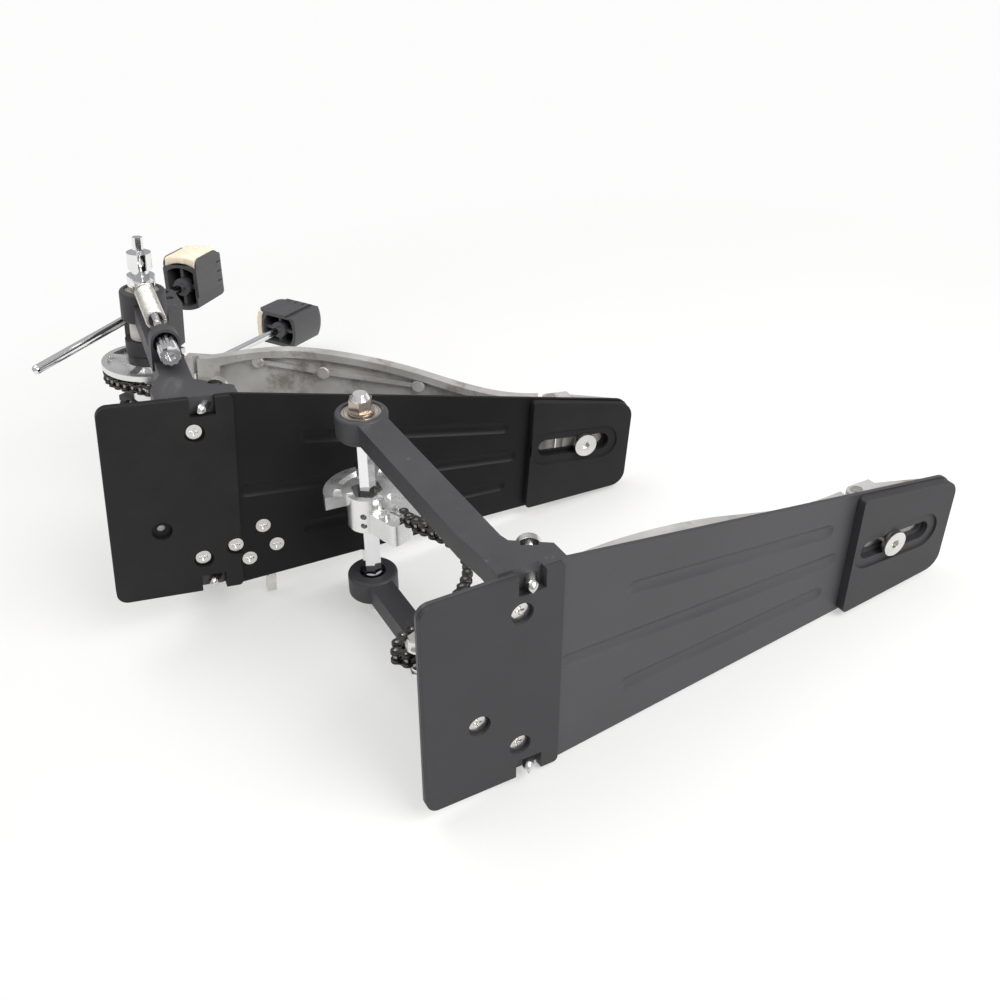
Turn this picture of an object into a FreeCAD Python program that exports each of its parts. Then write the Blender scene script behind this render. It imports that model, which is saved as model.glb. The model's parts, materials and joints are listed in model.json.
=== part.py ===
import FreeCAD
import Part
import Sketcher
import math
import os
import re
from types import SimpleNamespace

# Two bass drum pedals, each built in its own frame: x from the toe edge to the heel, y to the player's
# right, z up from the underside of the steel plate. Lengths are millimetres, angles degrees.
DIMS = {
    # Where each pedal lies: turns about z, y and x, then the place of its toe
    "main_yaw_angle": 17.8,
    "main_pitch_angle": 11.7,
    "main_roll_angle": -92.0,
    "main_place_x": -226.897,
    "main_place_y": -103.06,
    "main_place_z": 105.19,
    "second_yaw_angle": 24.7,
    "second_pitch_angle": 6.8,
    "second_roll_angle": -88.5,
    "second_place_x": -43.797,
    "second_place_y": -282.66,
    "second_place_z": 77.15,
    # Clearances
    "slide_gap": 0.3,
    "running_gap": 0.05,
    "screw_gap": 0.2,
    "seat_gap": 0.02,
    # Base plate and pads
    "toe_width": 135.0,
    "heel_width": 64.0,
    "plate_length": 354.0,
    "parallel_length": 79.0,
    "plate_thickness": 2.5,
    "toe_corner": 7.0,
    "heel_corner": 11.0,
    "shoulder_corner": 30.0,
    "toe_pad_thickness": 3.0,
    "heel_pad_thickness": 6.0,
    "heel_pad_length": 76.5,
    "heel_pad_inset": 0.8,
    "pad_corner": 3.0,
    "notch_start": 53.0,
    "notch_length": 15.2,
    "notch_inner": 56.0,
    "slot_far_inset": 64.0,
    "slot_near_inset": 22.0,
    "slot_width": 8.6,
    "main_slot_y": -4.5,
    "second_slot_y": -1.5,
    "pad_slot_width": 12.0,
    "recess_width": 24.0,
    "recess_depth": 1.5,
    "rib_radius": 10.0,
    "rib_height": 1.6,
    "middle_rib_start": 84.0,
    "middle_rib_inset": 89.0,
    "side_rib_start": 124.0,
    "side_rib_start_y": 33.0,
    "side_rib_inset": 96.0,
    "side_rib_end_y": 22.3,
    "pad_hole_radius": 6.2,
    # Countersunk screws in the plate
    "screw_head_radius": 4.8,
    "screw_radius": 2.5,
    "screw_head_depth": 2.3,
    "post_screw_length": 5.2,
    "short_screw_length": 5.0,
    "cross_width": 1.2,
    "cross_length": 5.4,
    "cross_depth": 1.5,
    "post_screw_x": 55.0,
    "left_screw_y": 45.0,
    "right_screw_y": 43.9,
    "third_screw_x": 31.0,
    "third_screw_y": 19.0,
    "clamp_screw_1_x": 94.0,
    "clamp_screw_1_y": 27.0,
    "clamp_screw_2_x": 76.0,
    "clamp_screw_2_y": 38.3,
    "clamp_screw_3_x": 102.4,
    "clamp_screw_3_y": 42.3,
    "clamp_screw_4_x": 84.4,
    "clamp_screw_4_y": 50.0,
    # Posts and bearings
    "axle_x": 50.0,
    "axle_height": 178.0,
    "post_front": 42.0,
    "main_left_back": 61.0,
    "main_right_back": 61.0,
    "second_left_back": 61.0,
    "second_right_back": 57.0,
    "arm_top_drop": 12.0,
    "arm_thickness": 13.5,
    "main_foot_front": 34.0,
    "second_foot_front": 44.0,
    "foot_rise": 40.0,
    "foot_shoulder": 20.0,
    "foot_back": 67.0,
    "foot_inner": 40.8,
    "foot_pad_top": 5.5,
    "gusset_front": 52.0,
    "gusset_back": 83.0,
    "gusset_low": 15.0,
    "gusset_high": 30.0,
    "gusset_inner": 54.0,
    "gusset_outer": 66.5,
    "main_left_arm": 53.3,
    "main_right_arm": 53.3,
    "second_left_arm": 55.8,
    "second_right_arm": 47.8,
    "main_left_hub": 52.5,
    "main_right_hub": 52.5,
    "main_hub_length": 22.5,
    "second_left_hub": 54.0,
    "second_right_hub": 46.4,
    "second_hub_length": 16.5,
    "hub_radius": 16.0,
    "hub_bore_radius": 8.5,
    "hub_edge": 1.2,
    "hub_round": 2.4,
    "bearing_radius": 12.0,
    "bearing_width": 6.0,
    "bearing_recess": 0.8,
    "shield_radius": 9.6,
    "shield_depth": 0.6,
    # Spur bolts
    "spur_tip_x": 57.0,
    "spur_y": 61.0,
    "spur_drop": 9.0,
    "spur_lean": 27.2,
    "spur_radius": 3.2,
    "spur_point": 6.0,
    "spur_shank": 36.0,
    "spur_head_radius": 6.8,
    "spur_head_height": 4.0,
    "spur_dome_radius": 8.2,
    "spur_dome_rise": 4.1,
    "spur_travel": 4.0,
    "spot_face_height": 30.0,
    # Heel plate, hinge and heel screw
    "main_heel_inset": 35.1,
    "second_heel_inset": 45.9,
    "hinge_back": 22.0,
    "hinge_height": 9.5,
    "knuckle_radius": 6.0,
    "knuckle_half": 22.7,
    "tongue_rise": 2.0,
    "lug_half": 36.5,
    "heel_front": 9.0,
    "heel_reach": 57.0,
    "heel_top": 13.0,
    "heel_end_top": 6.0,
    "heel_end_half": 30.0,
    "hinge_pin_radius": 2.5,
    "hinge_pin_head_radius": 3.4,
    "hinge_pin_head": 1.2,
    "heel_head_radius": 8.2,
    "heel_head_height": 3.4,
    "heel_shank_radius": 4.0,
    "heel_shank_top": 8.0,
    "heel_socket": 5.0,
    "heel_socket_depth": 2.4,
    # Footboards
    "main_toe_drop": 47.3,
    "second_board_angle": 0.4,
    "board_start": 9.0,
    "board_length": 257.0,
    "board_heel_top": 3.0,
    "board_arch": 7.5,
    "board_depth": 9.0,
    "deck_thickness": 3.5,
    "rim_width": 5.0,
    "board_half_1": 36.5,
    "board_half_2": 36.0,
    "board_half_3": 43.5,
    "board_half_4": 49.5,
    "board_half_5": 49.5,
    "board_half_6": 45.5,
    "board_half_7": 40.0,
    "board_half_8": 40.0,
    "toe_block_length": 19.0,
    "toe_block_overlap": 2.0,
    "web_thickness": 4.0,
    "web_height": 4.0,
    "boss_rise": 1.5,
    "boss_1_y": 33.0,
    "boss_2_y": 36.0,
    "boss_3_y": 39.5,
    "boss_radius": 4.5,
    "toe_notch_half": 11.0,
    "toe_notch_depth": 13.0,
    # Bracket and bolt between footboard and chain
    "chain_y": -11.5,
    "bracket_inset": 7.0,
    "bracket_drop": 3.0,
    "main_bracket_angle": 20.0,
    "second_bracket_angle": -40.0,
    "main_bracket_length": 18.0,
    "second_bracket_length": 30.0,
    "bracket_inner": 5.2,
    "bracket_cheek": 2.4,
    "bracket_half_height": 4.5,
    "bracket_pin_radius": 2.5,
    "bracket_pin_seat": 6.0,
    "chain_bolt_radius": 1.3,
    "washer_radius": 7.0,
    "washer_thickness": 1.4,
    "bolt_head_flats": 10.0,
    "bolt_head_height": 4.0,
    # Roller chain and the slack run of the second one
    "chain_pitch": 6.35,
    "link_half_height": 3.0,
    "link_plate": 1.0,
    "outer_plate_y": 3.3,
    "inner_plate_y": 2.1,
    "link_pin_radius": 1.2,
    "link_bush_radius": 1.75,
    "link_pin_gap": 0.15,
    "slack_start": 33.0,
    # Axle pieces
    "axle_flats": 10.0,
    "journal_radius": 6.0,
    "stub_flats": 6.5,
    "second_axle_left": 78.4,
    "second_axle_right": 76.0,
    "second_stub_start": 64.0,
    "nut_flats": 13.0,
    "nut_height": 6.5,
    "nut_dome_height": 3.6,
    "nut_dome_radius": 5.8,
    "nut_washer_radius": 8.3,
    "nut_washer": 1.5,
    "thread_radius": 4.0,
    "main_axle_right": 89.0,
    "main_nut_start": 85.6,
    "main_hex_end": 21.2,
    "centre_end": 27.2,
    "centre_pin_radius": 4.0,
    "centre_pin_end": 46.0,
    "centre_collar_radius": 14.0,
    "left_sleeve_start": 27.5,
    "left_sleeve_radius": 8.0,
    "left_sleeve_end": 53.0,
    "left_collar_start": 90.0,
    "left_collar_end": 101.5,
    "left_collar_radius": 8.4,
    "left_screw_rise": 6.7,
    "left_stub_end": 112.2,
    "set_screw_radius": 2.0,
    "bush_radius": 11.0,
    "bush_start": 38.3,
    "bush_end": 51.6,
    # Cam and chain clamp
    "main_cam_radius": 33.0,
    "second_cam_radius": 36.0,
    "main_cam_left": 21.0,
    "second_cam_left": 16.0,
    "main_cam_offset_x": 0.0,
    "main_cam_offset_z": 0.0,
    "second_cam_offset_x": 12.4,
    "second_cam_offset_z": -2.9,
    "cam_flange": 4.0,
    "drum_radius": 26.6,
    "drum_end": 7.0,
    "cam_hub_radius": 13.0,
    "cam_hub_start": 15.0,
    "set_screw_start": 20.8,
    "set_screw_1_y": -3.5,
    "set_screw_2_y": 3.0,
    "cam_hub_end": 8.5,
    "cam_rim": 4.0,
    "pocket_inner": 15.5,
    "pocket_depth": 2.6,
    "pocket_spoke": 6.0,
    "cam_cut_x": 80.0,
    "cam_cut_z": -48.0,
    "main_cam_angle": -60.0,
    "second_cam_angle": 36.0,
    "main_clamp_angle": 81.0,
    "second_clamp_angle": 162.0,
    "clamp_inner": 11.0,
    "main_clamp_outer": 38.0,
    "second_clamp_outer": 33.5,
    "clamp_half": 8.5,
    "clamp_left": -6.6,
    "clamp_right": 8.0,
    "clamp_round": 4.5,
    "clamp_head_radius": 3.6,
    "clamp_head_height": 2.5,
    "clamp_head_x": 4.0,
    "clamp_head_z": 19.5,
    # Spring rockers, springs, rods and nuts
    "spring_y": 78.0,
    "rocker_inner": 77.8,
    "rocker_outer": 85.3,
    "rocker_radius": 9.6,
    "rocker_arm": 4.6,
    "stirrup_half": 8.8,
    "stirrup_low_half": 6.6,
    "cap_radius": 7.2,
    "cap_top": 17.3,
    "cap_bottom": 20.0,
    "wire_radius": 0.95,
    "coil_radius": 5.9,
    "coil_pitch": 2.5,
    "coil_turns": 21.0,
    "coil_drop": 73.9,
    "rod_head_low_drop": 73.0,
    "rod_head_high_drop": 69.5,
    "rod_head_radius": 4.6,
    "rod_radius": 2.6,
    "rod_low_drop": 130.0,
    "lug_low_drop": 116.0,
    "lug_high_drop": 104.5,
    "lug_radius": 9.2,
    "cup_top_drop": 109.0,
    "cup_radius": 7.6,
    "tension_nut_drop": 137.0,
    "tension_nut_radius": 6.5,
    "flute_radius": 1.3,
    "nut_socket_radius": 3.2,
    "nut_socket_depth": 8.0,
    # Beaters and holders
    "left_beater_angle": 39.0,
    "right_beater_angle": 48.8,
    "left_rod_y": -48.5,
    "right_rod_y": 15.5,
    "left_rod_offset": 17.0,
    "right_rod_offset": 15.0,
    "beater_rod_radius": 3.25,
    "beater_rod_length": 208.0,
    "left_rod_tail": -101.0,
    "right_rod_tail": -4.0,
    "left_head_at": 80.0,
    "right_head_at": 178.0,
    "left_head_spin": 86.0,
    "right_head_spin": 0.0,
    "head_depth": 37.0,
    "head_width": 29.0,
    "head_height": 44.0,
    "head_bulge": 3.5,
    "head_wall": 3.0,
    "head_hub_radius": 7.0,
    "head_rib": 2.6,
    "head_cavity": 28.0,
    "head_corner": 7.5,
    "head_cap": 8.5,
    "head_lip_depth": 11.0,
    "head_lip_inset": 1.6,
    "groove_width": 1.2,
    "groove_length": 9.0,
    "groove_depth": 0.8,
    "groove_spacing": 7.5,
    "felt_thickness": 6.0,
    "felt_height": 34.0,
    "felt_edge": 2.0,
    "holder_low": -9.0,
    "holder_high": 33.0,
    "holder_side": 9.0,
    "left_holder_left": -54.3,
    "left_holder_right": -22.8,
    "left_ring_right": -27.8,
    "left_ring_left": -38.0,
    "left_block_low": 12.2,
    "left_block_high": 58.0,
    "left_block_slope_x": -11.0,
    "left_block_edge_x": 9.5,
    "left_block_edge_z": 36.0,
    "left_block_foot_x": 12.0,
    "holder_ring_radius": 15.0,
    "right_holder_left": 10.6,
    "right_holder_right": 24.0,
    "right_ring_left": 11.0,
    "holder_seam": 1.0,
    "holder_bolt_radius": 3.4,
    "holder_bolt_depth": 2.2,
    "left_bolt_1_x": -14.5,
    "left_bolt_1_z": 51.0,
    "left_bolt_2_x": -4.5,
    "left_bolt_2_z": 41.0,
    "right_bolt_1_x": -19.0,
    "right_bolt_1_z": 2.0,
    "right_bolt_2_x": -19.0,
    "right_bolt_2_z": 22.0,
    # Hoop clamp
    "block_front": 69.0,
    "block_back": 109.0,
    "block_left": 20.0,
    "block_right": 53.6,
    "block_top": 19.0,
    "bed_front": 18.0,
    "bed_half": 22.0,
    "bed_top": 6.0,
    "bed_overlap": 7.0,
    "ear_inner": 15.4,
    "ear_thickness": 5.0,
    "ear_front": 20.0,
    "ear_back": 34.0,
    "ear_top": 22.0,
    "jaw_pivot_x": 27.0,
    "jaw_pivot_z": 17.0,
    "jaw_pin_radius": 2.5,
    "jaw_half": 15.0,
    "jaw_tail": 104.0,
    "jaw_tail_low": 15.95,
    "jaw_tail_high": 19.95,
    "jaw_neck_x": 36.0,
    "jaw_neck_low": 14.0,
    "jaw_neck_high": 22.0,
    "jaw_rise_x": 13.0,
    "jaw_under": 23.0,
    "jaw_over": 28.0,
    "jaw_front": 3.0,
    "jaw_lip_back": 8.0,
    "jaw_lip_low": 16.0,
    "key_x": 100.0,
    "key_z": 12.0,
    "key_radius": 3.5,
    "key_left": -12.0,
    "key_right": 84.0,
    "key_square": 6.0,
    "key_square_length": 12.0,
    "key_collar_radius": 6.0,
    "key_collar_length": 8.0,
    "lobe_radius": 5.0,
    "lobe_offset": 2.0,
    "lobe_half": 11.0,
}

SIDES = {"left": -1, "right": 1}
PEDALS = ("main", "second")
AXES = {
    "Z": FreeCAD.Rotation(),
    "Y": FreeCAD.Rotation(FreeCAD.Vector(1, 0, 0), -90),
    "X": FreeCAD.Rotation(FreeCAD.Vector(0, 1, 0), 90),
}
FUNCTIONS = ("sqrt", "sin", "cos", "tan")
STRAIGHT_SHARE = 1e-6
QUARTERS = 4
FLUTES = 10
PATH_STEPS = 60
SLACK_SHARES = ((0.066, 0.037), (0.157, 0.127), (0.243, 0.208), (0.516, 0.24), (0.656, 0.182), (0.82, 0.045),
                (0.908, -0.072), (0.975, -0.092))
BOARD_AT_SHARES = (0.2257, 0.3774, 0.5642, 0.751, 0.8405)
BOSS_SHARES = (0.36, 0.62, 0.8)
CHECK_STEPS = 12
FULL_TURN = 360

# Places measured back from the plate's heel end or down from the axle
HEEL_PAD_START = "(plate_length - heel_pad_length)"
SLOT_START = "(plate_length - slot_far_inset)"
SLOT_END = "(plate_length - slot_near_inset)"
MIDDLE_RIB_END = "(plate_length - middle_rib_inset)"
SIDE_RIB_END = "(plate_length - side_rib_inset)"
ARM_TOP = "(axle_height - arm_top_drop)"
LUG_LOW = "(axle_height - lug_low_drop)"
LUG_LENGTH = "(lug_low_drop - lug_high_drop)"
CUP_DEPTH = "(lug_low_drop - cup_top_drop)"
NUT_LOW = "(axle_height - tension_nut_drop)"
ROD_LOW = "(axle_height - rod_low_drop)"
ROD_HEAD_LOW = "(axle_height - rod_head_low_drop)"
ROD_HEAD_LENGTH = "(rod_head_low_drop - rod_head_high_drop)"

DOC = FreeCAD.newDocument("double_pedal")
SHEET = DOC.addObject("Spreadsheet::Sheet", "dims")
for row, (alias, size) in enumerate(DIMS.items(), start=1):
    SHEET.set(f"A{row}", alias)
    SHEET.set(f"B{row}", str(size))
    SHEET.setAlias(f"B{row}", alias)
DOC.recompute()
D = SimpleNamespace(**{alias: float(SHEET.get(alias)) for alias in DIMS})
NODES = []


# Helpers that make objects bound to the sheet

def bound(text):
    def named(match):
        word = match.group(0)
        return word if word in FUNCTIONS else f"dims.{word}"
    return re.sub(r"[a-z][a-z_0-9]*", named, str(text))


def number(text):
    def valued(match):
        return f"({getattr(D, match.group(0))})"
    plain = re.sub(r"[a-z][a-z_0-9]*", valued, str(text))
    return FreeCAD.Units.Quantity(plain).Value


def new(kind, name):
    return DOC.addObject(kind, name)


def bind(item, **sizes):
    for key, text in sizes.items():
        item.setExpression(key, bound(text))


def put(item, x, y, z, turn):
    item.Placement = FreeCAD.Placement(FreeCAD.Vector(), turn)
    for key, text in zip("xyz", (x, y, z)):
        item.setExpression(f"Placement.Base.{key}", bound(text))
    return item


def box(x, y, z, length, width, height):
    item = new("Part::Box", "box")
    bind(item, Length=length, Width=width, Height=height)
    return put(item, x, y, z, AXES["Z"])


def rod(radius, height, x, y, z, axis="Z"):
    item = new("Part::Cylinder", "rod")
    bind(item, Radius=radius, Height=height)
    return put(item, x, y, z, AXES[axis])


def leaning_rod(radius, height, x, y, z, turn):
    item = new("Part::Cylinder", "leaning_rod")
    bind(item, Radius=radius, Height=height)
    return put(item, x, y, z, turn)


def cone(low_radius, high_radius, height, x, y, z, turn=AXES["Z"]):
    item = new("Part::Cone", "cone")
    bind(item, Radius1=low_radius, Radius2=high_radius, Height=height)
    return put(item, x, y, z, turn)


def ball(radius, x, y, z):
    item = new("Part::Sphere", "ball")
    bind(item, Radius=radius)
    return put(item, x, y, z, AXES["Z"])


def hexagon(flats, height, x, y, z, axis):
    item = new("Part::Prism", "hexagon")
    item.Polygon = 6
    bind(item, Circumradius=f"{flats} / sqrt(3)", Height=height)
    return put(item, x, y, z, AXES[axis])


def outline(corners, plane):
    sketch = new("Sketcher::SketchObject", "outline")
    spots = [FreeCAD.Vector(number(a), number(b), 0) for a, b in corners]
    count = len(spots)
    for index, spot in enumerate(spots):
        sketch.addGeometry(Part.LineSegment(spot, spots[(index + 1) % count]))
    for index in range(count):
        sketch.addConstraint(Sketcher.Constraint("Coincident", index, 2, (index + 1) % count, 1))
    for index, (spot, texts) in enumerate(zip(spots, corners)):
        for kind, value, text in zip(("DistanceX", "DistanceY"), (spot.x, spot.y), texts):
            place = sketch.addConstraint(Sketcher.Constraint(kind, -1, 1, index, 1, value))
            sketch.setExpression(f"Constraints[{place}]", bound(text))
    if plane == "XZ":
        sketch.Placement = FreeCAD.Placement(FreeCAD.Vector(), FreeCAD.Rotation(FreeCAD.Vector(1, 0, 0), 90))
    return sketch


def prism(corners, start, depth, plane="XY"):
    item = new("Part::Extrusion", "prism")
    item.Base = outline(corners, plane)
    item.DirMode = "Custom"
    item.Dir = FreeCAD.Vector(0, 0, 1) if plane == "XY" else FreeCAD.Vector(0, 1, 0)
    item.Solid = True
    bind(item, LengthFwd=f"{start} + {depth}", LengthRev=f"-({start})")
    return item


def fuse(*items):
    whole = new("Part::MultiFuse", "fuse")
    whole.Shapes = list(items)
    return whole


def cut(base, *tools):
    whole = new("Part::Cut", "cut")
    whole.Base = base
    whole.Tool = tools[0] if len(tools) == 1 else fuse(*tools)
    return whole


def common(first, second):
    whole = new("Part::MultiCommon", "common")
    whole.Shapes = [first, second]
    return whole


def group(*items):
    whole = new("Part::Compound", "group")
    whole.Links = list(items)
    return whole


def solid(shape):
    item = new("Part::Feature", "solid")
    item.Shape = shape
    return item


def rounded(base, picks):
    DOC.recompute()
    item = new("Part::Fillet", "rounded")
    item.Base = base
    chosen = []
    for index, edge in enumerate(base.Shape.Edges, start=1):
        for test, radius in picks:
            if test(edge):
                chosen.append((index, radius, radius))
                break
    item.Edges = chosen
    return item


def circular(edge):
    return edge.Curve.TypeId == "Part::GeomCircle"


def upright(edge):
    return len(edge.Vertexes) == 2 and abs(edge.tangentAt(edge.FirstParameter).z) > 1 - D.running_gap


def beyond(least, most):
    def test(edge):
        return upright(edge) and least <= edge.CenterOfMass.x <= most
    return test


def span(side, inner, outer):
    start = inner if side == "right" else f"-({outer})"
    return start, f"{outer} - ({inner})"


def sided(side, distance):
    return distance if side == "right" else f"-({distance})"


def node(label, item, frame):
    item.Label = label
    NODES.append((label, item, frame))
    return item


# Frames

def pedal_frame(pedal):
    place = FreeCAD.Vector(*(getattr(D, f"{pedal}_place_{key}") for key in "xyz"))
    turn = FreeCAD.Rotation(*(getattr(D, f"{pedal}_{key}_angle") for key in ("yaw", "pitch", "roll")))
    return FreeCAD.Placement(place, turn)


def about_y(place, angle):
    return FreeCAD.Placement(place, FreeCAD.Rotation(FreeCAD.Vector(0, 1, 0), angle))


def heel_x(pedal):
    return D.plate_length - getattr(D, f"{pedal}_heel_inset")


def hinge_frame(pedal, angle=0.0):
    place = FreeCAD.Vector(heel_x(pedal) - D.hinge_back, 0, D.hinge_height)
    return pedal_frame(pedal) * about_y(place, angle)


def axle_frame(pedal, angle=0.0):
    return pedal_frame(pedal) * about_y(FreeCAD.Vector(D.axle_x, 0, D.axle_height), angle)


# Frame of each pedal: plate, pads, posts, screws, bearings

def stadium(start, end, middle, width, low, height):
    bar = box(start, f"{middle} - {width} / 2", low, f"{end} - {start}", width, height)
    ends = [rod(f"{width} / 2", height, place, middle, low) for place in (start, end)]
    return fuse(bar, *ends)


def rib(radius, start, start_y, end, end_y):
    along = FreeCAD.Vector(number(end) - number(start), number(end_y) - number(start_y), 0)
    turn = FreeCAD.Rotation(FreeCAD.Vector(0, 0, 1), along)
    depth = f"{radius} - rib_height"
    if radius == "rib_radius":
        depth = "rib_radius - rib_height - plate_thickness"
    length = f"sqrt(({end} - ({start}))^2 + ({end_y} - ({start_y}))^2)"
    body = leaning_rod(radius, length, start, start_y, f"-({depth})", turn)
    tips = [ball(radius, x, y, f"-({depth})") for x, y in ((start, start_y), (end, end_y))]
    return fuse(body, *tips)


RIB_LINES = (
    ("middle_rib_start", "0", MIDDLE_RIB_END, "0"),
    ("side_rib_start", "-side_rib_start_y", SIDE_RIB_END, "-side_rib_end_y"),
    ("side_rib_start", "side_rib_start_y", SIDE_RIB_END, "side_rib_end_y"),
)


def screw_spots(pedal):
    spots = [("post_screw_x", "-left_screw_y", "post_screw_length"),
             ("post_screw_x", "right_screw_y", "post_screw_length")]
    if pedal == "second":
        spots.append(("third_screw_x", "third_screw_y", "short_screw_length"))
    else:
        spots += [(f"clamp_screw_{n}_x", f"clamp_screw_{n}_y", "short_screw_length") for n in range(1, 5)]
    return spots


def screw_holes(pedal):
    holes = []
    for x, y, length in screw_spots(pedal):
        holes.append(cone("screw_head_radius + screw_gap", "screw_radius + screw_gap", "screw_head_depth",
                          x, y, "0"))
        holes.append(rod("screw_radius + screw_gap", f"{length} + screw_gap", x, y, "0"))
    return holes


def notches(low, height):
    tools = []
    for side in SIDES:
        start, width = span(side, "notch_inner", "toe_width")
        tools.append(box("notch_start", start, low, "notch_length", width, height))
    return tools


def taper_half(x):
    along = f"({x} - parallel_length) / (plate_length - parallel_length)"
    return f"(toe_width - (toe_width - heel_width) * {along}) / 2"


def base_plate(pedal):
    corners = [("0", "-toe_width / 2"), ("parallel_length", "-toe_width / 2"),
               ("plate_length", "-heel_width / 2"), ("plate_length", "heel_width / 2"),
               ("parallel_length", "toe_width / 2"), ("0", "toe_width / 2")]
    flat = prism(corners, "0", "plate_thickness")
    pad_start = number(HEEL_PAD_START)
    flat = rounded(flat, [(beyond(-D.toe_corner, D.toe_corner), D.toe_corner),
                          (beyond(pad_start, D.plate_length), D.heel_corner),
                          (beyond(D.toe_corner, pad_start), D.shoulder_corner)])
    above = box("0", "-toe_width / 2", "0", "plate_length", "toe_width", "rib_radius")
    ridges = fuse(*[rib("rib_radius", *line) for line in RIB_LINES])
    grooves = [rib("(rib_radius - plate_thickness)", *line) for line in RIB_LINES]
    slot = stadium(SLOT_START, SLOT_END, f"{pedal}_slot_y", "slot_width", "-plate_thickness",
                   "3 * plate_thickness")
    spare = rod("screw_radius + screw_gap", "3 * plate_thickness", "third_screw_x", "third_screw_y",
                "-plate_thickness")
    plate = cut(fuse(flat, common(ridges, above)), *grooves, slot, spare, *screw_holes(pedal),
                *notches("-plate_thickness", "3 * plate_thickness"))
    node(f"{pedal}_base_plate", plate, pedal_frame(pedal))


def toe_pad(pedal):
    corners = [("0", "-toe_width / 2"), ("parallel_length", "-toe_width / 2"),
               ("parallel_length", "toe_width / 2"), ("0", "toe_width / 2")]
    sheet = prism(corners, "-toe_pad_thickness", "toe_pad_thickness")
    sheet = rounded(sheet, [(beyond(-D.toe_corner, D.toe_corner), D.toe_corner),
                            (beyond(D.toe_corner, D.plate_length), D.pad_corner)])
    holes = [rod("pad_hole_radius", "3 * toe_pad_thickness", x, y, "-2 * toe_pad_thickness")
             for x, y, length in screw_spots(pedal)]
    holes.append(rod("pad_hole_radius", "3 * toe_pad_thickness", "third_screw_x", "third_screw_y",
                     "-2 * toe_pad_thickness"))
    pad = cut(sheet, *holes, *notches("-2 * toe_pad_thickness", "3 * toe_pad_thickness"))
    node(f"{pedal}_toe_pad", pad, pedal_frame(pedal))


def heel_pad(pedal):
    start_half = f"{taper_half(HEEL_PAD_START)} - heel_pad_inset"
    corners = [(HEEL_PAD_START, f"-({start_half})"), ("plate_length", "-heel_width / 2 + heel_pad_inset"),
               ("plate_length", "heel_width / 2 - heel_pad_inset"), (HEEL_PAD_START, start_half)]
    sheet = prism(corners, "-heel_pad_thickness", "heel_pad_thickness")
    middle = D.plate_length - D.heel_pad_length / 2
    sheet = rounded(sheet, [(beyond(middle, D.plate_length), D.heel_corner),
                            (beyond(D.toe_corner, middle), D.pad_corner)])
    slot = stadium(SLOT_START, SLOT_END, f"{pedal}_slot_y", "pad_slot_width", "-2 * heel_pad_thickness",
                   "3 * heel_pad_thickness")
    recess = stadium(SLOT_START, SLOT_END, f"{pedal}_slot_y", "recess_width", "-2 * heel_pad_thickness",
                     "heel_pad_thickness + recess_depth")
    node(f"{pedal}_heel_pad", cut(sheet, slot, recess), pedal_frame(pedal))


def base_screws(pedal):
    screws = []
    for x, y, length in screw_spots(pedal):
        head = cone("screw_head_radius", "screw_radius", "screw_head_depth", x, y, "0")
        shank = rod("screw_radius", length, x, y, "0")
        bars = [box(f"{x} - {a} / 2", f"{y} - {b} / 2", "0", a, b, "cross_depth")
                for a, b in (("cross_length", "cross_width"), ("cross_width", "cross_length"))]
        screws.append(cut(fuse(head, shank), *bars))
    node(f"{pedal}_base_screws", group(*screws), pedal_frame(pedal))


def spur_turn():
    return FreeCAD.Rotation(FreeCAD.Vector(0, 1, 0), D.spur_lean)


def spur_spot(side, distance):
    lean = math.radians(D.spur_lean)
    x = D.spur_tip_x + distance * math.sin(lean)
    z = distance * math.cos(lean) - D.spur_drop
    return FreeCAD.Vector(x, SIDES[side] * D.spur_y, z)


def spur_tool(side, radius, height, distance):
    item = new("Part::Cylinder", "spur_tool")
    bind(item, Radius=radius, Height=height)
    item.Placement = FreeCAD.Placement(spur_spot(side, distance), spur_turn())
    return item


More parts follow.
